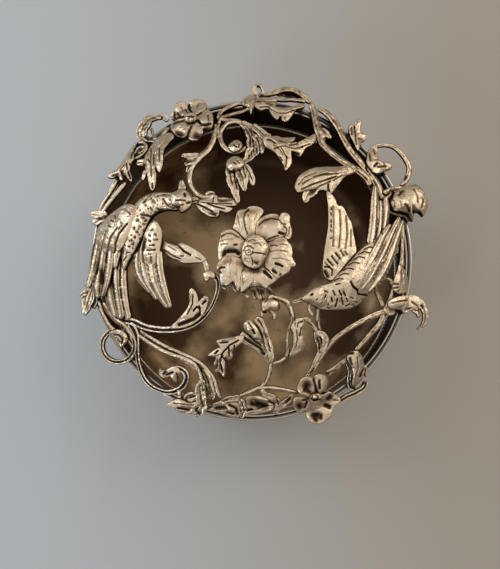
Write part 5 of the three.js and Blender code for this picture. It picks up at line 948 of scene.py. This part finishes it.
casting("back_scroll",
    stem((4.2, 41.8, .6), (6, 42.3, .7), (8, 43, .8), (10.6, 42.8, .8), (12.8, 41.4, .8),
        (14.6, 39.7, .8)),
    stem((1.6, 41.7, .5), (4, 41.7, .5), (5.4, 42.2, .5)),
    leaf((6, 41.9, .5), (8.4, 41.8, .8), (10.6, 41.6, .9), (12.4, 41, .5), thick=.5, lift=-.6),
    leaf((.6, 41.2, .7), (.6, 42.6, .6), (.9, 44.2, .4), lift=0),
    leaf((1, 44, .3), (2, 44, .3), (2.8, 42.6, .3), (2.8, 41.6, .3), lift=0),
    cuts=((.5, .5, (8.6, 41.9, 10.6, 41.8, 12, 41.2)), (.2, .5, (5.2, 41.7, 6.4, 41.6)),
        (.2, .4, (2.4, 41.7, 2.8, 41.7), (7, 42.1, 7.8, 41.7))))
casting("inner_stem",
    stem((14.6, 39.6, .7), (15.3, 38, .9), (15.8, 35.8, .85), (16.4, 33.4, 1.1), (17.2, 31.6, 1.3),
        (17.3, 29.9, 1), (18.6, 28.2, .85), (20.8, 26.2, .8), (23.2, 24.6, .95), (26.2, 22.9, 1),
        (28.4, 21.2, 1), (29.5, 19, .7)),
    leaf((16.6, 33, 1), (18.2, 32, 1), (19.7, 30.8, .4), lift=0),
    cuts=((.3, .6, (24.2, 22.9, 24.8, 22.8)), (.2, .4, (25.4, 24.3, 26.6, 23.4), (18.1, 30.9, 18.8, 31)),
        (.2, .3, (16.4, 36, 17, 33.8, 18.4, 32)), (.16, -.4, (17.4, 29.2, 20, 26.4, 22.6, 24.4)),
        (.16, .3, (26.4, 22.6, 28.6, 20.8))))
casting("outer_stem",
    stem((16.4, 38.2, .55), (18.1, 37.5, .85), (20, 35.7, .95), (21.7, 33.3, 1), (23.2, 30.4, 1),
        (24.8, 27.6, 1), (27, 24.8, 1), (29.3, 22.2, 1), (31.1, 19.4, 1.05), (32.2, 17, .9),
        (32.6, 15.4, .4)),
    cuts=((.18, .4, (22.4, 33.4, 24, 30.6, 26, 27.8), (30.4, 20.4, 31.6, 17.4, 32, 15.2)),
        (.3, .6, (25.3, 28.8, 25.8, 28.4)), (.16, .3, (19, 37.2, 21.4, 34.4)),
        (.25, .6, (28.6, 23.6, 28.9, 22.8)), (.16, -.3, (29.4, 22.8, 31.4, 19.6))))
casting("acanthus_leaf",
    leaf((0, 34.2, .8), (1.4, 32.9, 1), (2.8, 31.6, 1.2), (4.6, 30.4, 1.3), lift=.8),
    plate((2.6, 30.2), (3, 31.6), (4.8, 31.3), (6.4, 31.3), (7.4, 30.9), (9, 30.9), (10.8, 30.9),
        (10.4, 29.9), (12, 29.6), (13.6, 30), (14.6, 30.9), (15.7, 31.8), (16, 30.6), (15, 29.1),
        (13.4, 28.2), (12.7, 27), (11.9, 26.2), (10.8, 26.6), (10, 27), (9.7, 26), (10, 25), (9.6, 23.8),
        (8.4, 22.6), (7.9, 23.8), (7.2, 25.2), (6, 26.8), (4.6, 27.8), (3.4, 28.6), thick=.6, lift=1.3,
        crown=.5),
    cuts=((.22, .5, (3.8, 30.7, 4.8, 30.5, 5.8, 29.8), (9.4, 29.3, 10.4, 29.5, 11.4, 29.6)),
        (.2, .3, (5.6, 28.4, 8, 29.2, 10.6, 28.4, 12.6, 28.8)), (.35, .7, (10.4, 27.4, 11.6, 27)),
        (.2, .35, (8.4, 24, 8.7, 26.4), (6.8, 30.4, 8.4, 30)),
        (.16, .3, (7.4, 28.6, 8.6, 26.4), (12.4, 28.8, 14.6, 29.6)), (.2, -.4, (3.8, 28.8, 5.8, 27.4)),
        (.3, .5, (7, 26.2, 7.4, 25.6)), (.25, .5, (9.8, 30, 10.4, 30.2)),
        (.16, .25, (5.4, 29.4, 7, 28.2, 7.8, 27))))
casting("small_rim_leaf",
    plate((26.3, 27.6), (25.2, 29.8), (24.4, 31.4), (24, 33), (24.4, 34.3), (25.3, 34.1), (25.7, 34.9),
        (26.4, 35.4), (27.1, 35.2), (27.2, 33.8), (27.2, 32.4), (28, 31.9), (28.5, 31.2), (28, 30.2),
        (27.2, 29.8), (26.9, 28.6), thick=.6, lift=.6, crown=.5),
    cuts=((.18, .4, (25.6, 34, 25.9, 31, 26.1, 29.6)), (.18, .3, (26.6, 31, 27.6, 30.6)),
        (.2, .4, (24.9, 33.6, 25, 32)), (.18, -.3, (26, 33.8, 26.6, 34.8))))
casting("right_curl",
    plate((28.5, 25), (28.8, 27.2), (29.8, 28.9), (31, 29), (31.2, 27.4), (31.4, 26.2), (32.2, 24.9),
        (33.6, 24.7), (34.8, 24), (34.6, 23.2), (33, 22.6), (31.6, 21.9), (30.2, 22.2), (29.2, 23.4),
        thick=.6, lift=.7, crown=.5),
    stem((29.8, 28.2, .7), (31.4, 29, .6), (33.4, 29.2, .55), (35.6, 28.5, .55), (37.6, 26.6, .65),
        (39.1, 24.2, .75), (39.2, 22.2, .75), (38.5, 20.4, .65), (37.1, 18.9, .5)),
    cuts=((.25, .5, (31.4, 24.8, 30.6, 24), (29, 23.6, 29.8, 23)),
        (.2, .35, (29.4, 27.4, 29.6, 25.4), (30.4, 28.4, 30.8, 27)), (.22, .4, (31.6, 23.8, 33.4, 24)),
        (.3, .6, (38.6, 21.4, 38.2, 20.8))))
casting("two_finger_leaf",
    plate((10.6, 19), (11.4, 21), (13, 22.3), (15, 23.2), (18, 23.6), (21, 23.6), (23.2, 23.8),
        (25.2, 24.2), (26.2, 22.8), (25, 21.8), (23.4, 21.2), (22.2, 20), (21, 18.4), (20, 17),
        (19.2, 17), (18.2, 17.6), (16.6, 17.8), (15, 17.8), (13, 17.4), (11.4, 17.2), (10.7, 18),
        thick=.7, lift=1.5, crown=.7),
    leaf((17, 19.6, 1.6), (15, 18, 1.6), (13.7, 16.4, 1.2), (13.2, 14.8, .6), lift=1.5),
    cuts=((.2, .4, (12.6, 19.6, 15, 21.2, 18, 22, 21.4, 22.2),
            (12.4, 18.2, 15, 19.4, 18, 20.4, 21, 21.4)), (.2, .35, (14.4, 17, 17, 19, 19.6, 20.2)),
        (.3, .6, (19.1, 19.4, 19.2, 17.6)), (.18, .3, (11.6, 19.4, 13, 21.2, 16, 22.6)),
        (.16, .3, (20.4, 20.4, 22.4, 21.6)), (.2, -.4, (17.6, 17.8, 16.8, 17.6)),
        (.16, -.3, (13.4, 20.4, 16, 21.8, 19, 22.6))))

# Leaves of the right edge, the small pear-shaped ring, and the stems that run from them to the
# lower flower. All are silver castings, soldered end to end.
casting("right_edge_leaf",
    stem((37.6, 9.4, .5), (37.5, 5, .5), (37.4, 1, .6), (37.2, -1.4, .9)),
    plate((36.7, -.6), (38.2, -2.2), (38.8, -4), (38.8, -6), (38.4, -7.8), (36.4, -8.1), (35, -6.6),
        (35.3, -4.4), (36.1, -2.4), thick=.5, lift=.3, crown=.4),
    cuts=((.2, .4, (35.2, -5.4, 36.6, -5.6), (35.4, -6.6, 36.6, -6.4)), (.16, .3, (37.4, -2, 37.6, -5)),
        (.2, .3, (36.6, -7.6, 36.8, -7))))
casting("right_edge_curl",
    plate((34, -9.8), (36, -8.8), (38, -8.4), (40, -8.2), (41.6, -8.8), (42.6, -10, .2),
        (42.4, -11.4, .2), (41.4, -12.2), (40.4, -12), (39.4, -12.3), (38, -13), (37, -12), (35.4, -11.8),
        (34, -11.4), thick=.6, lift=.4, crown=.4),
    leaf((41, -9.6, 1.1), (42.4, -11, 1), (43.1, -13, .8), (43, -14.8, .7), (42.2, -16.2, .5),
        (41.2, -17, .35), lift=.5),
    leaf((39.8, -11.6, .7), (41.2, -12.6, .6), (41.7, -14, .4)),
    cuts=((.22, .4, (40, -10, 41.5, -11, 42.1, -12.6)), (.28, .6, (42.4, -10.9, 42.8, -11.3)),
        (.2, .4, (38.6, -11.8, 39.6, -11.6)), (.16, .3, (35, -10.4, 37, -9.8, 39, -9.6)),
        (.2, .5, (42.4, -13, 42.2, -14.6)), (.16, -.3, (38.4, -12.6, 39.6, -12))))
casting("pear_ring",
    stem((32.2, -4.2, .5), (34.4, -4.5, .5), (35, -6.4, .5), (34.6, -8.6, .5), (34, -10, .5),
        (33.3, -11.6, .6)),
    stem((32.6, -4.2, .45), (31, -5.4, .45), (30.9, -6.8, .5), (31.7, -8.8, .5), (32.8, -11.2, .6)),
    leaf((32.8, -11.4, .9), (34.2, -12.1, 1.2), (35.8, -12.2, .8), lift=0),
    cuts=((.16, .3, (34.8, -5.6, 34.6, -7.6), (31.4, -7.4, 32.4, -9.6)),))
casting("right_rim_stem",
    stem((33.4, -12.4, .9), (30.6, -13.3, .8), (27.4, -14.8, .7), (24.4, -16.5, .65), (21.4, -18.6, .65),
        (19.2, -20.8, .7), (17.2, -23.6, .7), (15.9, -26, .6), (14.4, -27.8, .55), (13, -29.4, .5)),
    stem((32.8, -13, .8), (32, -15.2, .8), (29.6, -17.9, .7), (27.4, -20.4, .6), (25.8, -22.2, .5)),
    stem((14.1, -14.8, .5), (15.2, -15.9, .5), (16, -17.4, .7), (16.2, -18.8, .8), (16.9, -20.7, .8),
        (17, -22.6, .8), (15.9, -24.8, .7), (15, -26.6, .5), (13.8, -28, .4)),
    stem((16.4, -13.4, .35), (16.6, -15.4, .35), (17, -17.4, .4)),
    leaf((15.9, -17.6, .5), (17.2, -17.9, .8), (18.2, -19.3, .9), (18, -21, .8), (17, -22.6, .5),
        lift=.5),
    cuts=((.16, .6, (16.4, -19, 17, -20.4, 16.9, -21.8)),
        (.15, .5, (15, -16.6, 15.6, -17.4), (28.4, -14.8, 29.4, -14.4), (17.2, -18.8, 17.6, -20.4)),
        (.2, -.4, (17.4, -18.4, 18.2, -19.8)), (.14, .5, (15.6, -26.6, 14.4, -28))))
casting("lower_right_leaf",
    plate((23.6, -24.2), (23.9, -23.1), (25, -22.3), (26.2, -22.2), (27.2, -23.1), (27.8, -24.9),
        (28.1, -27), (27.7, -28.8), (26.6, -30.4), (25.1, -31.2), (25, -29.6), (25.1, -28), (24.8, -26.4),
        (24.2, -25.4), thick=.6, lift=.8, crown=.5),
    stem((27.8, -25.8, .5), (28.5, -27.2, .55), (28.4, -28.8, .5)),
    scroll((28.5, -29.8, .8), (27.8, -31.4, .8), (26, -32.6, .8), (23.8, -33.6, .8), (22, -34.6, .7)),
    scroll((25.8, -31.8, .7), (24.4, -31, .6), (24.1, -29, .5), (24.3, -27, .5), (23.6, -25.2, .5)),
    stem((24, -24.2, .7), (22.4, -25.3, .8), (20.6, -26.7, .8), (18.4, -28, .8)),
    cuts=((.3, .6, (24.2, -22.9, 25.2, -22.8), (24.6, -24.2, 25, -25.6), (27.9, -26.8, 27, -28.6),
            (25.6, -31.2, 28, -30.2)), (.16, .3, (26.4, -23.8, 26.6, -26.4, 26, -28.8)),
        (.25, .5, (23.6, -26.2, 22.4, -25.8)), (.2, .4, (23.4, -33.4, 22, -34)),
        (.2, -.4, (24.4, -27.4, 24.8, -29.6)), (.2, .5, (19, -28, 21, -27))))

# The branch that rises from the front to the flower, with its bell, its bud and its leaves. They
# are silver castings, engraved along their veins and soldered to the rising stem.
casting("bell_flower",
    leaf((-2.8, -17.8, .8), (-1.4, -18.9, 1), (.6, -20.1, 1.1), (2.4, -21.4, 1), (3.6, -23.4, .7),
        (4.5, -25.2, .4), lift=.2),
    plate((-2.2, -15.6), (-1.4, -14.7), (-.4, -14.5), (.8, -15.4), (1.9, -16.9), (2.5, -18.6),
        (2.3, -19.9), (1.4, -20), (.2, -18.9), (-1, -17.7), (-2, -16.8), thick=.6, lift=.9, crown=.7),
    leaf((.9, -13.9, .8), (2.1, -15.4, 1.1), (2.9, -17.6, 1.1), (3.8, -19.8, 1), (4.5, -21.8, .9),
        (4.8, -23.6, .7), (4.6, -25.2, .4), lift=.8),
    stem((-3.3, -18.4, .35), (-2.6, -19.6, .35), (-1.2, -20.6, .35), (.4, -21.3, .35), (1.8, -22.6, .35),
        (3.4, -23.9, .35), (4.6, -25.2, .4)),
    cuts=((.3, .7, (-1.8, -19.2, .2, -20.4, 2, -21.6, 3, -23), (.2, -17, .6, -17.8)),
        (.16, .7, (-2.3, -17.1, -.8, -18.2, .8, -19.8, 2.2, -20.8),
            (.3, -14.8, 1.5, -16.4, 2.6, -18.6, 3, -20.4)),
        (.13, .5, (1.6, -14.4, 2.8, -16.4, 3.6, -18.8), (4, -19.6, 4.6, -22.4), (-1, -15, 0, -16.4),
            (.6, -19.2, 1.8, -19.4))))
casting("small_bud",
    plate((2.3, -12.2), (2.2, -10.7), (2.8, -9.7), (4.2, -9.3), (6.1, -9.7), (6.9, -10.6), (6.9, -11.7),
        (5.8, -12.3), (4.4, -12.1), (3.3, -12.8), thick=1, lift=.3, crown=.8),
    leaf((2.8, -12, .5), (2.6, -13, .5), (2.3, -14, .4)),
    leaf((4.2, -11.8, .5), (5.4, -12.9, .5), (5.4, -14.5, .4)),
    stem((4.2, -9.9, .8), (4.8, -8.8, .7), (4.8, -8, .5), lift=.2),
    cuts=((.35, .6, (3.1, -12.5, 4.2, -12.6, 4.9, -13.8)), (.2, .4, (3.2, -9.9, 3.8, -9.4)),
        (.3, .5, (7, -10.6, 6.9, -11.8)), (.18, .4, (5, -14.2, 4.9, -13))))
casting("hanging_leaf",
    plate((-2.2, -18.4), (-4.4, -18.6), (-6.7, -19), (-8.9, -19.7), (-8, -20.4), (-7.2, -20.9),
        (-9, -21.8), (-11, -23.3), (-9.8, -23.6), (-9, -24), (-9.6, -25.6), (-8.9, -26.2), (-9.2, -27.5),
        (-8, -27.6), (-7, -28.8), (-6.6, -27.3), (-7.2, -25.6), (-6.8, -24.2), (-5.8, -24.6),
        (-4.8, -23.8), (-4.8, -22.2), (-3, -20.6), (-2, -19.6), thick=.5, lift=.5, crown=.5),
    cuts=((.16, .7, (-3.4, -19.6, -5.6, -20.8, -7.4, -22.8, -8, -25, -7.4, -27.4)),
        (.15, .6, (-6, -20, -8, -20.2), (-5.8, -21.4, -5.7, -23.6), (-7.6, -23.4, -6.6, -24.8),
            (-8.6, -24.4, -8.8, -26.6)), (.2, .7, (-8.6, -22.2, -9.2, -22.9)),
        (.14, .5, (-4.4, -20.8, -4.4, -22.6)),
        (.2, -.4, (-8.4, -24, -8.4, -26.8), (-4.2, -19, -7.6, -19.5))))
casting("loop_leaf",
    plate((9.7, -16.4), (10.5, -14.7), (11.4, -14), (12.8, -14), (13, -15.2), (12.6, -16.2),
        (12.6, -17.6), (12.8, -18.6), (13.3, -19.6), (13.3, -21.2), (12, -22.6), (10, -23.8),
        (9.3, -23.4), (9.9, -21.6), (10.1, -19.6), (10, -17.6), thick=.6, lift=.7, crown=.5),
    leaf((12, -14.6, .6), (13.4, -14.2, .6), (14.8, -15, .4)),
    stem((4.6, -8.8, .6), (7.4, -9.4, .6), (9.2, -10.7, .7), (10, -12.8, .7), (10.2, -14.8, .6),
        (9.3, -16.8, .45), (8.9, -18.6, .4), (8.8, -20.4, .4), (9, -22.2, .45), (8.4, -23.8, .5)),
    cuts=((.3, .6, (7.4, -10.2, 8.8, -11.6, 9.4, -13.4)), (.25, .5, (9.8, -17.4, 9.9, -21)),
        (.2, .4, (12.6, -14.9, 11.6, -15.2, 11.4, -16.2), (12.3, -16.6, 12, -18.4)),
        (.16, .3, (11.2, -17, 11.4, -19.2, 11, -21.4)), (.2, -.4, (9.5, -11.4, 10.4, -13.6)),
        (.2, .3, (10.8, -14.6, 10.8, -16))))
casting("rising_stem",
    stem((2.2, -31.4, .5), (3.4, -30, .55), (4.3, -28.2, .6), (4.6, -26.4, .6), (4.7, -25, .5)),
    stem((4.8, -25.3, .5), (6.8, -24.9, .5), (8.6, -23.7, .5)),
    stem((-3.6, -33.8, .4), (-2, -33, .5), (0, -32.2, .55), (1.8, -31.5, .6), (3, -31.4, .6),
        (5.6, -31.5, .55), (8.1, -31.9, .5), (11.6, -32.6, .5)),
    cuts=((.16, -.3, (3.2, -30.6, 4.2, -28.4)), (.16, .4, (2.8, -30.4, 3.8, -28.8)),
        (.16, .35, (-2.4, -32.9, .4, -31.8))))

# Scrolls, leaves and the round ring of the front. They are silver castings that stand on the
# lid's edge wire and are soldered to it.
casting("front_leaves",
    leaf((-9.8, -35.9, .5), (-8, -35.2, .6), (-6, -34.3, .8), (-4, -33.9, .9), (-2.8, -34, .8)),
    leaf((-3, -34.2, .8), (-2.3, -35.6, .8), (-2, -37, .8), (-2.6, -39, .4)),
    plate((-10.6, -36.8), (-9, -36.1), (-7, -35.5), (-5, -35), (-3.2, -35.2), (-2.3, -36.4),
        (-2.3, -37.8), (-3.2, -38.8), (-4.6, -38.9), (-6, -38.5), (-8, -37.8), thick=.5, lift=0,
        crown=.2),
    leaf((2.4, -31.8, .5), (3.4, -33, .7), (5.2, -33.8, .9), (6.4, -35, .8), (6.3, -36.8, .7),
        (5.4, -38, .6)),
    leaf((-2.2, -38, .6), (.6, -37.4, .6), (2.8, -36.9, .7), (5.6, -36, .6)),
    plate((-1.4, -33.8), (0, -33.4), (2, -33.4), (4, -33.9), (6, -34.9), (6, -36.4), (4, -37.4),
        (1.6, -38), (-.4, -37.8), (-1.4, -36.6), (-1.7, -35.2), thick=.5, lift=-.1, crown=.1),
    leaf((6.2, -36.4, .8), (7.8, -35.4, .9), (9.2, -34.2, .7), (9.9, -33, .4)),
    cuts=((.5, .6, (-9, -36.6, -6.6, -36.4)),
        (.3, .6, (-6, -37.6, -4.6, -38), (-5.6, -35.8, -4, -36.6, -3.6, -38)),
        (.9, .7, (.4, -35.4, 3.2, -36)), (.25, -.4, (-6.4, -36.1, -5.6, -37), (.4, -34.9, .8, -35.4)),
        (.2, -.4, (4.4, -35.6, 5, -37)), (.3, .5, (4.2, -34.8, 5.6, -35.4)),
        (.4, .6, (8.6, -35.2, 9.4, -34.2)), (.16, .3, (-8.4, -35, -5, -34.2)),
        (.2, .4, (-2.8, -36, -2.6, -38), (6.2, -34, 6.8, -36)), (.25, .6, (-2, -37.2, 0, -36.9)),
        (.2, -.3, (1.2, -34, 4, -34.6)), (.25, .5, (5, -32.8, 7.4, -33))))
casting("leafy_stalk",
    leaf((-12.2, -29.4, .7), (-12.9, -31.4, 1.3), (-12.7, -33.6, 1.4), (-12.3, -35.6, 1.3),
        (-12, -37.6, .8)),
    leaf((-12.4, -35.8, 1), (-12.9, -37.4, .9), (-14.6, -38.2, .6)),
    plate((-21.2, -35.7), (-20, -34.7), (-18.4, -34.2), (-17, -34.7), (-15.6, -35.2), (-14, -35),
        (-12.8, -35.2), (-13.4, -36.2), (-15, -36.8), (-17, -36.7), (-19, -36.4), thick=.5, lift=.4,
        crown=.3),
    leaf((-14, -37, .7), (-16.4, -37.3, .6), (-19.2, -36.8, .4)),
    stem((-13, -33.2, .45), (-14.8, -32.7, .45), (-16.4, -33.2, .4), (-17, -34.2, .35)),
    leaf((-13, -33.8, .7), (-15.4, -34.4, .6), (-16.2, -34.6, .35), lift=0),
    cuts=((.3, .6, (-15.8, -33.8, -14.6, -33.6), (-18.4, -36.6, -15.8, -37), (-13.8, -37.4, -13, -37.9)),
        (.16, .3, (-19.6, -35.3, -17, -35.6, -14.6, -35.9)),
        (.25, .5, (-12, -30.2, -12.2, -32.2), (-12.8, -34.4, -12.2, -36)),
        (.2, .4, (-13.2, -31.2, -13, -33)),
        (.2, -.4, (-13.8, -31, -13.9, -32.6), (-18.8, -36.8, -17, -37.2))))
casting("double_stem",
    stem((-28, -17.2, .5), (-26.4, -18.2, .5), (-24.4, -19.4, .5), (-21.4, -21.1, .5), (-18, -22.6, .5),
        (-15, -23.9, .5), (-12.8, -25.3, .5), (-10.8, -27.3, .5), (-9.4, -29.4, .55), (-8.8, -31.6, .6),
        (-7.8, -34.2, .5)),
    stem((-28.6, -18, .5), (-26, -19.9, .55), (-23.4, -21.5, .6), (-21, -22.7, .6), (-18.6, -23.5, .6),
        (-16, -24.5, .6), (-14.2, -25.8, .6), (-13.2, -27.4, .6), (-12.6, -29.4, .6), (-12, -31.6, .6),
        (-11.4, -34.4, .6)),
    leaf((-24.4, -20.4, .7), (-20, -22.6, .8), (-15.6, -24.6, 1), (-12.4, -27, 1.4), (-10.9, -29.6, 1.6),
        (-10.4, -32, 1.4), (-10, -34.6, .9), lift=-.6),
    stem((-12, -26.6, .4), (-10.6, -28.6, .45), (-9.9, -31, .5), (-9.2, -33.4, .45), lift=.2))
casting("front_scroll",
    scroll((-30.6, -15.2, 1), (-29.3, -17, 1), (-28.7, -19, .8), (-28.6, -22, .65), (-28.4, -24.6, .6),
        (-27.6, -27.4, .6), (-26.4, -29.6, .6), (-24.6, -31.2, .6), (-22, -32.3, .6), (-20, -32.4, .7),
        (-18, -31.6, .8), (-16.7, -30.2, .85), (-16.3, -28.6, .8), (-17, -27.2, .8), (-18.6, -26.5, .75),
        (-20.2, -27, .75), (-21.4, -27.8, .7), (-22.4, -27.4, .5), (-23, -26.5, .3)),
    plate((-23.3, -26.6), (-22.6, -27.3), (-21.2, -26.8), (-19.8, -26.1), (-18.6, -26.3), (-17.8, -27.4),
        (-18.3, -28.6), (-18.7, -30), (-19.6, -29.8), (-20, -28.6), (-21, -28.9), (-22.2, -29),
        (-23.2, -28.3), thick=.5, lift=.3, crown=.4),
    leaf((-18.2, -31.8, .6), (-18.1, -33.2, .5), (-18.2, -34.2, .35), lift=0),
    cuts=((.25, .6, (-19.8, -27.6, -21.4, -28.2)),
        (.25, .5, (-22.2, -28, -21.6, -27.4), (-18.8, -28, -18.4, -29.6)),
        (.2, -.4, (-16, -29, -16.6, -30.8)), (.3, .5, (-29.2, -22.6, -28.4, -24)),
        (.16, -.4, (-23, -32.8, -19.6, -33))))
ring_turn = np.radians(np.linspace(40, -260, 25))
casting("left_ring_scroll",
    scroll(*np.column_stack([-33.3 + 4.1 * np.cos(ring_turn), -20.9 + 4.1 * np.sin(ring_turn),
        np.full(25, .65)])),
    stem((-38.4, -9.6, .6), (-37.6, -12.2, .6), (-36.6, -14.2, .6), (-35.4, -16.2, .7),
        (-34.2, -17.2, .7)),
    stem((-37.2, -10, .6), (-35.8, -12.4, .7), (-34, -14.4, .7), (-32, -15.9, .8), (-30.6, -17.6, .8),
        (-29.8, -19.4, .5)),
    plate((-35.6, -17.6), (-34.2, -16.9), (-32.6, -17), (-31.2, -18.2), (-30.9, -19.6), (-31.7, -20.6),
        (-32.6, -21.4), (-33.6, -21), (-34.2, -19.8), (-35.2, -19.2), thick=.6, lift=.5, crown=.5),
    cuts=((.16, .6, (-34.6, -18.2, -33.4, -18.2, -32.4, -19.2, -32.6, -20.4)),
        (.15, .5, (-33.6, -19.4, -33, -20)), (.2, -.4, (-34.4, -17.6, -32.6, -17.8, -31.6, -19))))
casting("beak_side_leaf",
    plate((-22.8, 5.3), (-20.4, 4.5), (-18.2, 3.8), (-18, 4.6), (-16.6, 4.4), (-14.6, 3.3), (-12.6, 2),
        (-11.4, .6), (-12.6, -.2), (-14.6, -.3), (-17, -.4), (-18.6, .4), (-20.6, 1.2), (-21.9, 2.6),
        (-22.7, 3.8), thick=.5, lift=.4, crown=.3),
    leaf((-13.4, .8, .9), (-12, .2, .6), (-11.3, -1.4, .6), (-11.2, -2.8, .45)),
    cuts=((.22, .5, (-18.1, 3.8, -17, 2.7, -15.4, 1.8)), (.16, .35, (-22, 3, -20.4, 1.9, -18, .8)),
        (.2, .3, (-17.8, 1.4, -17.2, 1.5)), (.16, .2, (-21, 4, -19, 2.9)),
        (.16, -.3, (-20.8, 1.1, -19, .2, -17.2, -.2)), (.2, .35, (-14, 1.2, -12.8, .6))))
casting("inner_scroll",
    scroll((-31.8, -14.6, .9), (-29.4, -15, 1), (-26.6, -16.2, .9), (-23.6, -16.8, .9),
        (-20.4, -16.9, .9), (-17.2, -16.5, .8), (-14.4, -15.5, .7), (-12, -13.7, .6), (-10.2, -11.4, .5),
        (-9.1, -9, .5), (-8.5, -6.6, .55), (-8.6, -4.6, .7), (-9.8, -3.4, .9), (-11.2, -3.4, .8),
        (-11.9, -4.6, .45)),
    plate((-20.4, -16.6), (-18.6, -14.6), (-17, -12.8), (-15.9, -11.2), (-15.4, -9.6), (-15.7, -7.8),
        (-15.2, -6.6), (-14.2, -7.2), (-13.5, -8.8), (-13.2, -10.2), (-12.4, -9.1), (-11.4, -8.4),
        (-10.7, -9.2), (-11.1, -10.8), (-11.7, -12.6), (-13, -14.4), (-15, -15.8), (-17.4, -16.6),
        thick=.6, lift=.2, crown=.3),
    plate((-12.2, -3), (-11.2, -2.2), (-9.8, -2.3), (-9, -3.2), (-9.3, -4.3), (-10.4, -4.2), (-11.2, -5),
        (-12.1, -4.4), thick=.5, lift=.4, crown=.4),
    cuts=((.4, .8, (-18.2, -15.7, -16.4, -15, -14.6, -14.3, -13.2, -13.2)),
        (.2, .6, (-14.6, -12.2, -13.8, -11.2, -13, -11.6)), (.22, .6, (-12.3, -10.4, -11.6, -9.8)),
        (.14, .5, (-16.2, -13, -14.9, -10.6, -14.8, -8.2)),
        (.15, .6, (-13.2, -11, -13, -12.6, -14, -13.4)),
        (.2, -.4, (-15.8, -10.6, -15.3, -7.6), (-12.2, -9.4, -11.2, -8.9))))

# The stand: a plain pale table, matt as painted board, wide enough that its edge is out of the
# picture.
TABLE_REACH = 2


def table_top():
    """Painted light: cool and lighter on the left, as if the window's light fell there, and warm and
    darker on the right as painted shade; a mix by x, with a trace of soft clouds."""
    pale = Finish(bpy.data.materials.new("pale table"))
    place = pale.node("TexCoord", out="Object")
    clouds = pale.noise(place, 9, 3)
    cool, warm = (0.54, 0.585, 0.635, 1), (0.455, 0.42, 0.375, 1)
    # Painted light and shade across the table, by x.
    side = pale.clamped(pale.node("SeparateXYZ", (), {0: place}, "X") * 8 + clouds * 0.4 + 0.3)
    colour = pale.mixed(side, cool, warm)
    shader = pale.node("BsdfPrincipled", (), {"Base Color": colour, "Roughness": 0.85})
    pale.node("OutputMaterial", (), {"Surface": shader})
    return pale.owner


plane = bpy.data.meshes.new("table")
plane.from_pydata([(TABLE_REACH * x, TABLE_REACH * y, 0) for x, y in (
    (-1, -1), (1, -1), (1, 1), (-1, 1))], [], [(0, 1, 2, 3)])
plane.materials.append(table_top())
table = bpy.data.objects.new("table", plane)
bpy.context.scene.collection.objects.link(table)

# The light: a tall window on the left, a warm room behind on the right, and a low, pale ceiling
# that the polished silver mirrors.
LIT_POINT = Vector((0, 0, 0.02))
CEILING_WAY = (0.12, 0.22, 0.97)
PALE_WALL = (0.62, 0.61, 0.6, 1)
ROOM_STRENGTH = 0.8


def lamp(name, place, size, power, colour):
    """A square soft box, its sides in metres and its power in watts, that looks at the cup."""
    soft_box = bpy.data.lights.new(name, "AREA")
    soft_box.size, soft_box.energy, soft_box.color = size, power, colour
    made = bpy.data.objects.new(name, soft_box)
    made.location = place
    made.rotation_euler = (LIT_POINT - Vector(place)).to_track_quat("-Z", "Y").to_euler()
    bpy.context.scene.collection.objects.link(made)


def room(world):
    """Dark at the sides and bright overhead: the shade goes by the cosine between a direction and
    the ceiling's. The camera itself sees an even pale wall."""
    sky = Finish(world)
    toward = sky.node("VectorMath", {"operation": "DOT_PRODUCT"}, {
        0: sky.node("TexCoord", out="Generated"), 1: CEILING_WAY}, "Value")
    shade = sky.node("ValToRGB", {"stops": (
        (0.0, (0.09, 0.075, 0.065)), (0.42, (0.15, 0.125, 0.105)), (0.64, (0.50, 0.46, 0.41)),
        (0.8, (0.94, 0.88, 0.79)), (1.0, (0.98, 0.92, 0.83)))}, {"Fac": toward})
    straight = sky.node("LightPath", out="Is Camera Ray")
    shade = sky.mixed(straight, shade, PALE_WALL)
    light = sky.node("Background", (), {"Color": shade, "Strength": ROOM_STRENGTH})
    sky.node("OutputWorld", (), {"Surface": light})
    return world


lamp("window", (-0.34, 0.16, 0.3), 0.24, 0.5, (0.88, 0.94, 1.0))
lamp("warm_fill", (0.42, 0.28, 0.42), 0.34, 0.6, (1.0, 0.89, 0.76))
lamp("low_window", (-0.3, -0.3, 0.3), 0.08, 0.3, (0.84, 0.92, 1.0))
bpy.context.scene.world = room(bpy.data.worlds.new("studio"))

# The camera stands where the drawing's eye is, over the front of the box. It looks straight down,
# and its picture is shifted, by this many of the photo's pixels, to frame the box.
PICTURE_LONG_SIDE = 569
FOCAL_PIXELS = 492
SENSOR_WIDTH = 36
NEAREST_SEEN = 0.005
SHIFT_RIGHT, SHIFT_UP = -2, 84.3
camera = bpy.data.objects.new("camera", bpy.data.cameras.new("camera"))
camera.data.sensor_width = SENSOR_WIDTH
camera.data.lens = FOCAL_PIXELS * SENSOR_WIDTH / PICTURE_LONG_SIDE
camera.data.clip_start = NEAREST_SEEN
camera.location = (0, -EYE_FORWARD * MM, (LID_SEAT + EYE_HEIGHT) * MM)
camera.data.shift_x = SHIFT_RIGHT / PICTURE_LONG_SIDE
camera.data.shift_y = SHIFT_UP / PICTURE_LONG_SIDE
bpy.context.scene.collection.objects.link(camera)
bpy.context.scene.camera = camera
bpy.context.scene.view_settings.view_transform = "Standard"
